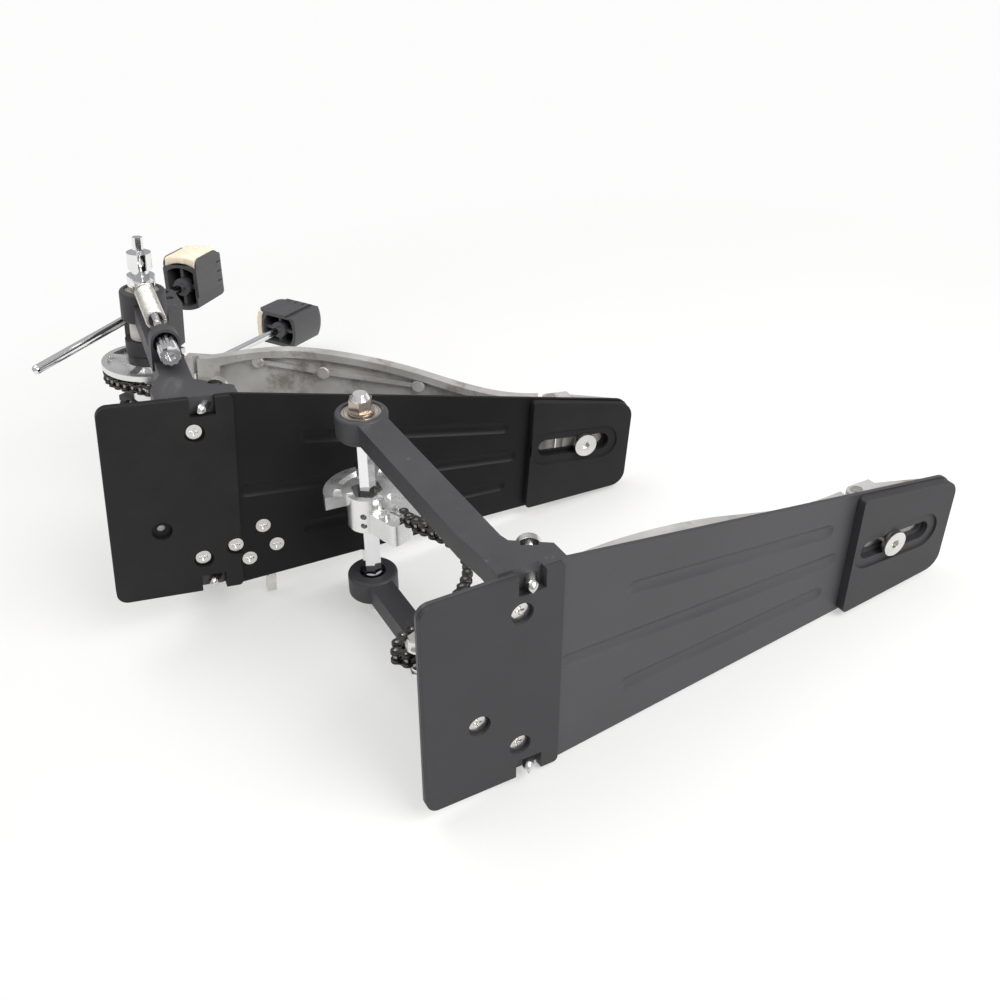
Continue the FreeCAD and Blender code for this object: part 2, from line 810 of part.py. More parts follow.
def post(pedal, side):
    back = f"{pedal}_{side}_back"
    arm, arm_width = span(side, f"{pedal}_{side}_arm", f"{pedal}_{side}_arm + arm_thickness")
    shape = [("post_front", ARM_TOP), ("post_front", "foot_rise"), (f"{pedal}_foot_front", "foot_shoulder"),
             (f"{pedal}_foot_front", "plate_thickness"), ("foot_back", "plate_thickness"),
             (back, "gusset_high"), (back, ARM_TOP)]
    upright_arm = prism(shape, arm, arm_width, "XZ")
    brace, brace_width = span(side, "gusset_inner", "gusset_outer")
    wedge = [("gusset_front", "plate_thickness"), ("gusset_back", "plate_thickness"),
             ("gusset_back", "gusset_low"), (back, "gusset_high"), ("gusset_front", "gusset_high")]
    gusset = prism(wedge, brace, brace_width, "XZ")
    foot, foot_width = span(side, "foot_inner", "gusset_inner + arm_thickness / 2")
    pad = box(f"{pedal}_foot_front", foot, "plate_thickness", f"foot_back - {pedal}_foot_front", foot_width,
              "foot_pad_top - plate_thickness")
    hub, hub_width = span(side, f"{pedal}_{side}_hub", f"{pedal}_{side}_hub + {pedal}_hub_length")
    barrel = rod("hub_radius", hub_width, "axle_x", hub, "axle_height", "Y")
    pieces = [upright_arm, gusset, pad, rounded(barrel, [(circular, D.hub_round)])]
    if pedal == "main":
        lug_y = sided(side, "spring_y")
        pieces.append(rod("lug_radius", LUG_LENGTH, "axle_x", lug_y, LUG_LOW))
        neck, neck_width = span(side, f"{pedal}_{side}_arm + arm_thickness / 2", "spring_y")
        pieces.append(box("axle_x - lug_radius", neck, LUG_LOW, "2 * lug_radius", neck_width, LUG_LENGTH))
    outer = f"{pedal}_{side}_hub + {pedal}_hub_length"
    seat_floor = f"{outer} - bearing_recess - bearing_width - running_gap"
    seat, seat_width = span(side, seat_floor, f"{outer} + hub_edge")
    tools = [rod("hub_bore_radius", f"{hub_width} + 2 * hub_edge", "axle_x", f"{hub} - hub_edge",
                 "axle_height", "Y"),
             rod("bearing_radius + running_gap", seat_width, "axle_x", seat, "axle_height", "Y"),
             spur_tool(side, "spur_radius + running_gap", "2 * spur_shank", -D.spur_point),
             spur_tool(side, "spur_head_radius + slide_gap", "spot_face_height",
                       D.spur_shank - D.spur_travel - D.slide_gap)]
    if pedal == "main":
        tools.append(rod("rod_radius + screw_gap", f"3 * {LUG_LENGTH}", "axle_x", lug_y,
                         f"{LUG_LOW} - {LUG_LENGTH}"))
        tools.append(rod("cup_radius", f"2 * {CUP_DEPTH}", "axle_x", lug_y, f"{LUG_LOW} - {CUP_DEPTH}"))
    for x, y, length in screw_spots(pedal)[:2]:
        tools.append(rod("screw_radius + screw_gap", f"{length} + screw_gap", x, y, "0"))
    node(f"{pedal}_{side}_post", cut(fuse(*pieces), *tools), pedal_frame(pedal))


def bearings(pedal):
    rings = []
    for side in SIDES:
        outer = f"{pedal}_{side}_hub + {pedal}_hub_length - bearing_recess"
        start, width = span(side, f"{outer} - bearing_width", outer)
        body = rod("bearing_radius", width, "axle_x", start, "axle_height", "Y")
        bore = rod("journal_radius + running_gap", f"{width} + 2 * hub_edge", "axle_x", f"{start} - hub_edge",
                   "axle_height", "Y")
        face, face_width = span(side, f"{outer} - shield_depth", f"{outer} + hub_edge")
        shield = rod("shield_radius", face_width, "axle_x", face, "axle_height", "Y")
        rings.append(cut(body, bore, shield))
    node(f"{pedal}_bearings", group(*rings), pedal_frame(pedal))


def spur(pedal, side):
    turn = spur_turn()
    tip = cone("0", "spur_radius", "spur_point", "0", "0", "0")
    shank = rod("spur_radius", "spur_shank - spur_point", "0", "0", "spur_point")
    head = rod("spur_head_radius", "spur_head_height", "0", "0", "spur_shank")
    dome_centre = "spur_shank + spur_head_height + spur_dome_rise - spur_dome_radius"
    sphere = ball("spur_dome_radius", "0", "0", dome_centre)
    dome = common(sphere, rod("spur_head_radius", "2 * spur_head_height", "0", "0",
                              "spur_shank + spur_head_height / 2"))
    place = FreeCAD.Placement(spur_spot(side, 0.0), turn)
    node(f"{pedal}_{side}_spur", fuse(tip, shank, head, dome), pedal_frame(pedal) * place)


# Heel plate, hinge and footboard, in the hinge's frame

def heel_plate(pedal):
    low = "plate_thickness + slide_gap - hinge_height"
    wedge = prism([("heel_front", low), ("heel_reach", low), ("heel_reach", "heel_end_top - hinge_height"),
                   ("heel_front", "heel_top - hinge_height")], "-lug_half", "2 * lug_half", "XZ")
    corners = [("-knuckle_radius", "-lug_half"), ("heel_front", "-lug_half"),
               ("heel_reach", "-heel_end_half"), ("heel_reach", "heel_end_half"),
               ("heel_front", "lug_half"), ("-knuckle_radius", "lug_half")]
    plan = prism(corners, "-hinge_height", "2 * heel_top")
    plan = rounded(plan, [(beyond(D.heel_front + D.knuckle_radius, D.plate_length), D.heel_corner)])
    pieces = [common(wedge, plan)]
    holes = [rod("heel_shank_radius + running_gap", "heel_shank_top + slide_gap", "hinge_back",
                 f"{pedal}_slot_y", "-hinge_height"),
             rod("hinge_pin_radius + running_gap", "4 * lug_half", "0", "-2 * lug_half", "0", "Y")]
    for side in SIDES:
        start, width = span(side, "knuckle_half + slide_gap", "lug_half")
        pieces.append(rod("knuckle_radius", width, "0", start, "0", "Y"))
        pieces.append(box("0", start, "-knuckle_radius", "heel_front + knuckle_radius", width,
                          "2 * knuckle_radius"))
    node(f"{pedal}_heel_plate", cut(fuse(*pieces), *holes), hinge_frame(pedal))


def heel_screw(pedal):
    middle = f"{pedal}_slot_y"
    floor = "-heel_pad_thickness + recess_depth - slide_gap - hinge_height"
    head = rod("heel_head_radius", "heel_head_height", "hinge_back", middle, f"{floor} - heel_head_height")
    shank_length = f"heel_shank_top - hinge_height - ({floor})"
    shank = rod("heel_shank_radius", shank_length, "hinge_back", middle, floor)
    socket = hexagon("heel_socket", "heel_socket_depth", "hinge_back", middle, f"{floor} - heel_head_height",
                     "Z")
    node(f"{pedal}_heel_screw", cut(fuse(head, shank), socket), hinge_frame(pedal))


def hinge_pin(pedal):
    shank = rod("hinge_pin_radius", "2 * lug_half", "0", "-lug_half", "0", "Y")
    heads = [rod("hinge_pin_head_radius", "hinge_pin_head", "0", place, "0", "Y")
             for place in ("-lug_half - hinge_pin_head", "lug_half")]
    node(f"{pedal}_hinge_pin", fuse(shank, *heads), hinge_frame(pedal))


def bracket_at():
    return D.board_length - D.bracket_inset


def board_angle(pedal):
    if pedal == "second":
        return D.second_board_angle
    rise = D.axle_height - D.main_toe_drop - D.hinge_height
    return math.degrees(math.asin(rise / bracket_at()))


def arch_arc(drop):
    along = (-D.board_length, -D.board_length / 2, 0.0)
    heights = (D.board_heel_top, D.board_heel_top + D.board_arch, D.board_heel_top)
    return [FreeCAD.Vector(x, 0, height - drop) for x, height in zip(along, heights)]


def arch_slab(top_drop, low_drop, half):
    top = arch_arc(top_drop)
    low = arch_arc(low_drop)
    edges = [Part.Arc(*top).toShape(), Part.makeLine(top[2], low[2]), Part.Arc(*reversed(low)).toShape(),
             Part.makeLine(low[0], top[0])]
    face = Part.Face(Part.Wire(edges))
    face.translate(FreeCAD.Vector(0, -half, 0))
    return face.extrude(FreeCAD.Vector(0, 2 * half, 0))


def board_plan(inset):
    block_start = D.board_length - D.toe_block_length
    end = block_start - inset if inset else block_start + D.toe_block_overlap
    stations = [D.board_start + inset] + [D.board_length * share for share in BOARD_AT_SHARES] + [end]
    halves = [getattr(D, f"board_half_{index}") for index in range(1, len(stations) + 1)]
    right = [FreeCAD.Vector(-at, half - inset, 0) for at, half in zip(stations, halves)]
    left = [FreeCAD.Vector(spot.x, -spot.y, 0) for spot in reversed(right)]
    curves = []
    for spots in (right, left):
        curve = Part.BSplineCurve()
        curve.interpolate(spots)
        curves.append(curve.toShape())
    ends = [Part.makeLine(right[-1], left[0]), Part.makeLine(left[-1], right[0])]
    wire = Part.Wire([curves[0], ends[0], curves[1], ends[1]])
    face = Part.Face(wire)
    reach = D.board_arch + 2 * D.board_depth
    face.translate(FreeCAD.Vector(0, 0, -reach))
    return face.extrude(FreeCAD.Vector(0, 0, 2 * reach))


def plain_box(low, high):
    size = high - low
    return Part.makeBox(size.x, size.y, size.z, low)


def upright_bar(before, after, width, height):
    way = after - before
    way.normalize()
    across = FreeCAD.Vector(-way.y, way.x, 0) * (width / 2)
    corners = [before + across, before - across, after - across, after + across, before + across]
    return Part.Face(Part.makePolygon(corners)).extrude(FreeCAD.Vector(0, 0, height))


def footboard(pedal):
    block_start = D.board_length - D.toe_block_length
    half = max(D.board_half_4, D.board_half_5) + D.rim_width
    reach = D.board_arch + 2 * D.board_depth
    slab = arch_slab(0.0, D.board_depth, half)
    toe_part = plain_box(FreeCAD.Vector(-D.board_length, -D.board_half_8, -reach),
                         FreeCAD.Vector(-block_start, D.board_half_8, reach))
    board = slab.common(board_plan(0.0).fuse(toe_part))
    cavity = arch_slab(D.deck_thickness, 2 * D.board_depth, half).common(board_plan(D.rim_width))
    webs = []
    web_slab = arch_slab(0.0, D.deck_thickness + D.web_height, half)
    boss_slab = arch_slab(0.0, D.deck_thickness + D.web_height + D.boss_rise, half)
    for sign in SIDES.values():
        spots = [FreeCAD.Vector(-D.board_length * share, sign * getattr(D, f"boss_{place}_y"), -reach)
                 for place, share in enumerate(BOSS_SHARES, start=1)]
        for spot in spots:
            webs.append(Part.makeCylinder(D.boss_radius, 2 * reach, spot).common(boss_slab))
        for before, after in zip(spots, spots[1:]):
            webs.append(upright_bar(before, after, D.web_thickness, 2 * reach).common(web_slab))
    board = board.cut(cavity.cut(webs))
    notch = plain_box(FreeCAD.Vector(-2 * D.board_length, D.chain_y - D.toe_notch_half, -reach),
                      FreeCAD.Vector(D.toe_notch_depth - D.board_length, D.chain_y + D.toe_notch_half, reach))
    knuckle = Part.makeCylinder(D.knuckle_radius, 2 * D.knuckle_half, FreeCAD.Vector(0, -D.knuckle_half, 0),
                                FreeCAD.Vector(0, 1, 0))
    tongue_low = D.tongue_rise - D.knuckle_radius
    tongue = plain_box(FreeCAD.Vector(-D.board_start - D.rim_width, -D.knuckle_half, tongue_low),
                       FreeCAD.Vector(0, D.knuckle_half, D.board_heel_top))
    hinge_bore = Part.makeCylinder(D.hinge_pin_radius + D.running_gap, 2 * D.lug_half,
                                   FreeCAD.Vector(0, -D.lug_half, 0), FreeCAD.Vector(0, 1, 0))
    pin_bore = Part.makeCylinder(D.bracket_pin_radius + D.running_gap, 2 * D.board_half_8,
                                 FreeCAD.Vector(-bracket_at(), -D.board_half_8, -D.bracket_drop),
                                 FreeCAD.Vector(0, 1, 0))
    whole = board.fuse([knuckle, tongue]).cut([notch, hinge_bore, pin_bore]).removeSplitter()
    node(f"{pedal}_footboard", solid(whole), hinge_frame(pedal, board_angle(pedal)))


def bracket_frame(pedal):
    board = hinge_frame(pedal, board_angle(pedal))
    return board * about_y(FreeCAD.Vector(-bracket_at(), D.chain_y, -D.bracket_drop),
                           -getattr(D, f"{pedal}_bracket_angle"))


def chain_bolt(pedal):
    length = f"{pedal}_bracket_length"
    pieces = []
    for side in SIDES:
        start, width = span(side, "bracket_inner", "bracket_inner + bracket_cheek")
        pieces.append(box(f"-{length}", start, "-bracket_half_height", length, width,
                          "2 * bracket_half_height"))
        for place in ("0", f"-{length}"):
            pieces.append(rod("bracket_half_height", width, place, start, "0", "Y"))
    reach = "bracket_inner + bracket_cheek"
    pin_half = "(toe_notch_half + bracket_pin_seat)"
    pieces.append(rod("bracket_pin_radius", f"2 * {pin_half}", "0", f"-{pin_half}", "0", "Y"))
    pieces.append(rod("chain_bolt_radius", f"2 * ({reach}) + bracket_cheek", f"-{length}", f"-({reach})", "0",
                      "Y"))
    pieces.append(rod("washer_radius", "washer_thickness", f"-{length}", f"-({reach}) - washer_thickness",
                      "0", "Y"))
    pieces.append(hexagon("bolt_head_flats", "bolt_head_height", f"-{length}",
                          f"-({reach}) - washer_thickness - bolt_head_height", "0", "Y"))
    pieces.append(hexagon("bolt_head_flats", "bolt_head_height", f"-{length}", reach, "0", "Y"))
    node(f"{pedal}_chain_bolt", fuse(*pieces), bracket_frame(pedal))


# Chains

def link_plate(place, pitch):
    low = place - D.link_plate / 2
    half = D.link_half_height
    bar = plain_box(FreeCAD.Vector(0, low, -half), FreeCAD.Vector(pitch, low + D.link_plate, half))
    ends = [Part.makeCylinder(half, D.link_plate, FreeCAD.Vector(x, low, 0), FreeCAD.Vector(0, 1, 0))
            for x in (0, pitch)]
    return bar.fuse(ends).removeSplitter()


def cross_pins(radius, half, pitch):
    return [Part.makeCylinder(radius, 2 * half, FreeCAD.Vector(x, -half, 0), FreeCAD.Vector(0, 1, 0))
            for x in (0, pitch)]


def outer_link(pitch):
    plates = [link_plate(place, pitch) for place in (-D.outer_plate_y, D.outer_plate_y)]
    pins = cross_pins(D.link_pin_radius, D.outer_plate_y + D.link_plate, pitch)
    return plates[0].fuse(plates[1:] + pins).removeSplitter()


def inner_link(pitch):
    low = -D.inner_plate_y
    high = D.inner_plate_y
    plates = [link_plate(place, pitch) for place in (low, high)]
    bushes = []
    bores = []
    for x in (0, pitch):
        spot = FreeCAD.Vector(x, low, 0)
        bushes.append(Part.makeCylinder(D.link_bush_radius, high - low, spot, FreeCAD.Vector(0, 1, 0)))
        spot = FreeCAD.Vector(x, low - D.link_plate, 0)
        length = high - low + 2 * D.link_plate
        radius = D.link_pin_radius + D.link_pin_gap
        bores.append(Part.makeCylinder(radius, length, spot, FreeCAD.Vector(0, 1, 0)))
    return plates[0].fuse(plates[1:] + bushes).cut(bores).removeSplitter()


def walk(path, pitch, count):
    spots = [path[0]]
    index = 0
    while len(spots) <= count:
        while index < len(path) - 1 and (path[index + 1] - spots[-1]).Length < pitch:
            index += 1
        if index >= len(path) - 1:
            return spots, False
        near = path[index]
        step = path[index + 1] - near
        back = near - spots[-1]
        a = step.dot(step)
        b = back.dot(step)
        c = back.dot(back) - pitch ** 2
        spots.append(near + step * ((math.sqrt(max(b * b - a * c, 0.0)) - b) / a))
    return spots, True


def chain(pedal, path):
    length = sum((after - before).Length for before, after in zip(path, path[1:]))
    count = 2 * round(length / D.chain_pitch / 2)
    short = D.chain_pitch / 2
    long = 2 * D.chain_pitch
    for attempt in range(PATH_STEPS):
        pitch = (short + long) / 2
        spots, held = walk(path, pitch, count)
        if held:
            short = pitch
        else:
            long = pitch
    spots, held = walk(path, short, count)
    shapes = [outer_link(short), inner_link(short)]
    links = []
    for index in range(count):
        along = spots[index + 1] - spots[index]
        turn = FreeCAD.Rotation(FreeCAD.Vector(0, 1, 0), math.degrees(math.atan2(-along.z, along.x)))
        place = FreeCAD.Placement(spots[index] + FreeCAD.Vector(0, D.chain_y, 0), turn)
        link = shapes[index % 2].copy()
        link.Placement = place
        links.append(link)
    print(pedal, "chain links", count, "pitch", round(short, 3))
    node(f"{pedal}_chain", solid(Part.makeCompound(links)), pedal_frame(pedal))


def bolt_spot(pedal):
    local = pedal_frame(pedal).inverse() * bracket_frame(pedal)
    spot = local.multVec(FreeCAD.Vector(-getattr(D, f"{pedal}_bracket_length"), 0, 0))
    return FreeCAD.Vector(spot.x, 0, spot.z)


def chain_radius():
    return D.drum_radius + D.link_half_height + D.slide_gap


def rim_spot(angle, radius):
    turn = math.radians(angle)
    return FreeCAD.Vector(D.axle_x + radius * math.sin(turn), 0, D.axle_height + radius * math.cos(turn))


def main_path():
    radius = chain_radius()
    end = bolt_spot("main")
    across = end.x - D.axle_x
    down = end.z - D.axle_height
    reach = math.hypot(across, down)
    toward = math.degrees(math.atan2(across, down)) % FULL_TURN - FULL_TURN
    leave = toward + math.degrees(math.acos(radius / reach))
    path = []
    for index in range(PATH_STEPS + 1):
        angle = D.main_clamp_angle + (leave - D.main_clamp_angle) * index / PATH_STEPS
        path.append(rim_spot(angle, radius))
    start = path[-1]
    for index in range(1, PATH_STEPS + 1):
        path.append(start + (end - start) * (index / PATH_STEPS))
    return path


def second_path():
    start = rim_spot(D.second_clamp_angle, D.slack_start)
    end = bolt_spot("second")
    chord = end - start
    aside = FreeCAD.Vector(-chord.z, 0, chord.x)
    spots = [start] + [start + chord * along + aside * out for along, out in SLACK_SHARES] + [end]
    curve = Part.BSplineCurve()
    curve.interpolate(spots)
    return curve.discretize(PATH_STEPS * len(SLACK_SHARES))


# Axles, cams and their chain clamps, in the axle's frame

def nut(start, side):
    washer, washer_width = span(side, start, f"{start} + nut_washer")
    faces, faces_width = span(side, f"{start} + nut_washer", f"{start} + nut_washer + nut_height")
    top = f"{start} + nut_washer + nut_height"
    turn = AXES["Y"] if side == "right" else FreeCAD.Rotation(FreeCAD.Vector(1, 0, 0), 90)
    dome = cone("nut_dome_radius", "thread_radius", "nut_dome_height", "0", sided(side, top), "0", turn)
    body = fuse(rod("nut_washer_radius", washer_width, "0", washer, "0", "Y"),
                hexagon("nut_flats", faces_width, "0", faces, "0", "Y"), dome)
    bore, bore_width = span(side, f"{start} - nut_washer", f"{top}")
    return cut(body, rod("thread_radius + running_gap", bore_width, "0", bore, "0", "Y"))


def second_axle():
    hub_out = "second_left_hub + second_hub_length"
    bar = hexagon("axle_flats", "second_left_hub + second_right_hub", "0", "-second_left_hub", "0", "Y")
    left = rod("journal_radius", "second_hub_length", "0", f"-({hub_out})", "0", "Y")
    right = rod("journal_radius", "second_stub_start - second_right_hub", "0", "second_right_hub", "0", "Y")
    thread = rod("thread_radius", "second_axle_left", "0", "-second_axle_left", "0", "Y")
    stub = hexagon("stub_flats", "second_axle_right - second_stub_start", "0", "second_stub_start", "0", "Y")
    node("second_axle", fuse(bar, left, right, thread, stub), axle_frame("second", D.second_cam_angle))
    node("second_axle_nut", nut(f"{hub_out} + running_gap", "left"), axle_frame("second"))


def main_axle():
    bar = hexagon("axle_flats", "main_hex_end + main_right_hub", "0", "-main_hex_end", "0", "Y")
    left = rod("journal_radius", "centre_end - main_hex_end", "0", "-centre_end", "0", "Y")
    right = rod("journal_radius", "main_nut_start - main_right_hub", "0", "main_right_hub", "0", "Y")
    pin = rod("centre_pin_radius", "centre_pin_end", "0", "-centre_pin_end", "0", "Y")
    thread = rod("thread_radius", "main_axle_right", "0", "0", "0", "Y")
    node("main_axle", fuse(bar, left, right, pin, thread), axle_frame("main"))
    washer = rod("nut_washer_radius", "nut_washer", "0", "main_nut_start + running_gap", "0", "Y")
    faces = hexagon("nut_flats", "main_axle_right - main_nut_start - nut_washer", "0",
                    "main_nut_start + nut_washer + running_gap", "0", "Y")
    bore = rod("thread_radius + running_gap", "main_axle_right", "0", "0", "0", "Y")
    node("main_axle_nut", cut(fuse(washer, faces), bore), axle_frame("main"))
    collar = rod("centre_collar_radius", "centre_end - main_hex_end", "0", "-centre_end", "0", "Y")
    hole = rod("journal_radius + running_gap", "main_axle_right", "0", "-centre_end - nut_washer", "0", "Y")
    node("main_centre_collar", cut(collar, hole), axle_frame("main"))


def left_stub():
    def step(radius, start, end):
        return rod(radius, f"{end} - {start}", "0", f"-{end}", "0", "Y")
    sleeve = step("left_sleeve_radius", "left_sleeve_start", "left_sleeve_end")
    journal = step("journal_radius", "left_sleeve_end", "left_collar_start")
    collar = step("left_collar_radius", "left_collar_start", "left_collar_end")
    tip = hexagon("stub_flats", "left_stub_end - left_collar_end", "0", "-left_stub_end", "0", "Y")
    bore = rod("centre_pin_radius + running_gap", "centre_pin_end + slide_gap", "0",
               "-centre_pin_end - slide_gap", "0", "Y")
    screw = rod("set_screw_radius", "left_collar_radius", "0", "-(left_collar_start + left_collar_end) / 2",
                "-left_collar_radius - left_screw_rise")
    node("main_left_stub", cut(fuse(sleeve, journal, collar, tip), bore, screw), axle_frame("main"))
    ring_body = rod("bush_radius", "bush_end - bush_start", "0", "-bush_end", "0", "Y")
    ring_bore = rod("left_sleeve_radius + running_gap", "bush_end", "0", "-bush_end", "0", "Y")
    node("main_centre_bush", cut(ring_body, ring_bore), axle_frame("main"))


def cam(pedal):
    radius = f"{pedal}_cam_radius"
    face = f"{pedal}_cam_left"
    x = f"{pedal}_cam_offset_x"
    z = f"{pedal}_cam_offset_z"
    far = f"2 * {face}"
    flange = rod(radius, "cam_flange", x, f"-{face}", z, "Y")
    drum = rod("drum_radius", f"{face} - drum_end", "0", f"-{face}", "0", "Y")
    hub = rod("cam_hub_radius", "cam_hub_start + cam_hub_end", "0", "-cam_hub_start", "0", "Y")
    bore = hexagon("axle_flats + 2 * seat_gap", f"2 * ({far})", "0", f"-{far}", "0", "Y")
    ring = rod(f"{radius} - cam_rim", "pocket_depth + slide_gap", x, f"-{face} - slide_gap", z, "Y")
    spokes = [box(f"-{radius}", f"-{far}", "-pocket_spoke / 2", f"3 * {radius}", far, "pocket_spoke"),
              box("-pocket_spoke / 2", f"-{far}", f"-{radius}", "pocket_spoke", far, f"2 * {radius}")]
    pocket = cut(ring, rod("pocket_inner", f"2 * ({far})", "0", f"-{far}", "0", "Y"), *spokes)
    holes = [rod("set_screw_radius", "cam_hub_radius", "0", place, "-set_screw_start")
             for place in ("set_screw_1_y", "set_screw_2_y")]
    corners = [("0", "0"), ("-cam_cut_x", "cam_cut_z"), ("cam_cut_x", "cam_cut_z")]
    gap = prism(corners, f"-{far}", far, "XZ")
    rim = cut(fuse(flange, drum), gap)
    frame = axle_frame(pedal, getattr(D, f"{pedal}_cam_angle"))
    node(f"{pedal}_cam", cut(fuse(rim, hub), bore, pocket, *holes), frame)


def chain_clamp(pedal):
    outer = f"{pedal}_clamp_outer"
    width = "clamp_right - clamp_left"
    block = box("-clamp_half", "clamp_left", "clamp_inner", "2 * clamp_half", width,
                f"{outer} - clamp_inner")
    hub = rod("cam_hub_radius + screw_gap", f"2 * ({width})", "0", f"clamp_left - ({width}) / 2", "0", "Y")
    top = "(clamp_left - clamp_head_height)"
    head = rod("clamp_head_radius", "clamp_head_height", "clamp_head_x", top, "clamp_head_z", "Y")
    bars = [box(f"clamp_head_x - {a} / 2", top, f"clamp_head_z - {b} / 2", a, "cross_depth", b)
            for a, b in (("cross_length", "cross_width"), ("cross_width", "cross_length"))]
    far_end = getattr(D, outer)

    def at_far_end(edge):
        return edge.CenterOfMass.z > far_end - D.slide_gap and edge.BoundBox.XLength < D.slide_gap

    whole = fuse(cut(rounded(block, [(at_far_end, D.clamp_round)]), hub), cut(head, *bars))
    node(f"{pedal}_chain_clamp", whole, axle_frame(pedal, getattr(D, f"{pedal}_clamp_angle")))


# Spring rockers, springs and their tension nuts

def rocker(side):
    start, width = span(side, "rocker_inner", "rocker_outer")
    boss = rod("rocker_radius", width, "0", start, "0", "Y")
    face, face_width = span(side, "rocker_outer - rocker_arm", "rocker_outer")
    stirrup = prism([("-stirrup_half", "0"), ("-stirrup_low_half", "-cap_bottom"),
                     ("stirrup_low_half", "-cap_bottom"), ("stirrup_half", "0")], face, face_width, "XZ")
    cap = rod("cap_radius", "cap_bottom - cap_top", "0", sided(side, "spring_y"), "-cap_bottom")
    bore = rod("journal_radius + running_gap", f"3 * ({width})", "0", f"{start} - ({width})", "0", "Y")
    node(f"main_{side}_rocker", cut(fuse(boss, stirrup, cap), bore), axle_frame("main"))


def arc_between(start, tangent, end):
    chord = end - start
    ahead = FreeCAD.Vector(chord)
    ahead.normalize()
    if tangent.cross(ahead).Length < STRAIGHT_SHARE:
        return Part.makeLine(start, end)
    half = math.acos(max(-1.0, min(1.0, tangent.dot(ahead)))) / 2
    way = tangent + ahead
    way.normalize()
    return Part.Arc(start, start + way * (chord.Length / (2 * math.cos(half))), end).toShape()


def biarc(start, tangent, end, end_tangent):
    chord = end - start
    both = tangent + end_tangent
    bend = 2 * (1 - tangent.dot(end_tangent))
    along = chord.dot(both)
    if bend < STRAIGHT_SHARE:
        length = chord.dot(chord) / (4 * chord.dot(end_tangent))
    else:
        length = (math.sqrt(along ** 2 + bend * chord.dot(chord)) - along) / bend
    joint = (start + end + (tangent - end_tangent) * length) / 2
    first = arc_between(start, tangent, joint)
    second = arc_between(end, end_tangent * -1.0, joint)
    return first, second


def coil_spot(turn):
    angle = 2 * math.pi * turn
    spot = FreeCAD.Vector(D.coil_radius * math.cos(angle), D.coil_radius * math.sin(angle),
                          D.axle_height - D.coil_drop + D.coil_pitch * turn)
    way = FreeCAD.Vector(-math.sin(angle), math.cos(angle), D.coil_pitch / (2 * math.pi * D.coil_radius))
    way.normalize()
    return spot, way


def spring_wire():
    quarters = round(QUARTERS * D.coil_turns)
    stops = [coil_spot(index / QUARTERS) for index in range(quarters + 1)]
    edges = []
    for (start, way), (end, end_way) in zip(stops, stops[1:]):
        edges += biarc(start, way, end, end_way)
    return edges


def least_gap(edges):
    spots = []
    along = 0.0
    for edge in edges:
        steps = edge.discretize(CHECK_STEPS)
        if spots and (steps[0] - spots[-1][0]).Length > (steps[-1] - spots[-1][0]).Length:
            steps.reverse()
        for spot in steps[1:]:
            if spots:
                along += (spot - spots[-1][0]).Length
            spots.append((spot, along))
    far = math.pi * D.coil_radius
    least = min((a - b).Length for i, (a, s) in enumerate(spots) for b, t in spots[:i] if s - t > far)
    return least - 2 * D.wire_radius


def spring_solid():
    edges = spring_wire()
    path = Part.Wire(Part.__sortEdges__(edges))
    profile = Part.Wire(Part.makeCircle(D.wire_radius, *coil_spot(0)))
    whole = path.makePipeShell([profile], True, False)
    print("spring least gap", round(least_gap(edges), 3), "valid", whole.isValid(), whole.ShapeType)
    return whole


def springs():
    for side, sign in SIDES.items():
        item = solid(spring_solid())
        frame = pedal_frame("main") * FreeCAD.Placement(FreeCAD.Vector(D.axle_x, sign * D.spring_y, 0),
                                                        FreeCAD.Rotation())
        node(f"main_{side}_spring", item, frame)


def spring_rods():
    rods = []
    for side in SIDES:
        place = sided(side, "spring_y")
        shank = rod("rod_radius", "rod_low_drop - rod_head_high_drop", "axle_x", place, ROD_LOW)
        head = rod("rod_head_radius", ROD_HEAD_LENGTH, "axle_x", place, ROD_HEAD_LOW)
        rods.append(fuse(shank, head))
    node("main_spring_rods", group(*rods), pedal_frame("main"))


def tension_nut(side):
    height = "tension_nut_drop - cup_top_drop - slide_gap"
    body = rod("tension_nut_radius", height, "0", "0", "0")
    tools = [rod("rod_radius + running_gap", f"2 * ({height})", "0", "0", f"-({height}) / 2"),
             rod("nut_socket_radius", "2 * nut_socket_depth", "0", "0", "-nut_socket_depth")]
    for index in range(FLUTES):
        turn = 2 * math.pi * index / FLUTES
        flute = new("Part::Cylinder", "flute")
        bind(flute, Radius="flute_radius", Height=height)
        spot = FreeCAD.Vector(math.cos(turn), math.sin(turn), 0) * (D.tension_nut_radius + D.flute_radius / 2)
        flute.Placement = FreeCAD.Placement(spot, FreeCAD.Rotation())
        tools.append(flute)
    local = FreeCAD.Placement(FreeCAD.Vector(D.axle_x, SIDES[side] * D.spring_y, number(NUT_LOW)),
                              FreeCAD.Rotation())
    node(f"main_{side}_spring_nut", cut(body, *tools), pedal_frame("main") * local)


# Beaters and their holders, in the axle's frame turned by the beater's angle

def beater_frame(side):
    return axle_frame("main", getattr(D, f"{side}_beater_angle"))


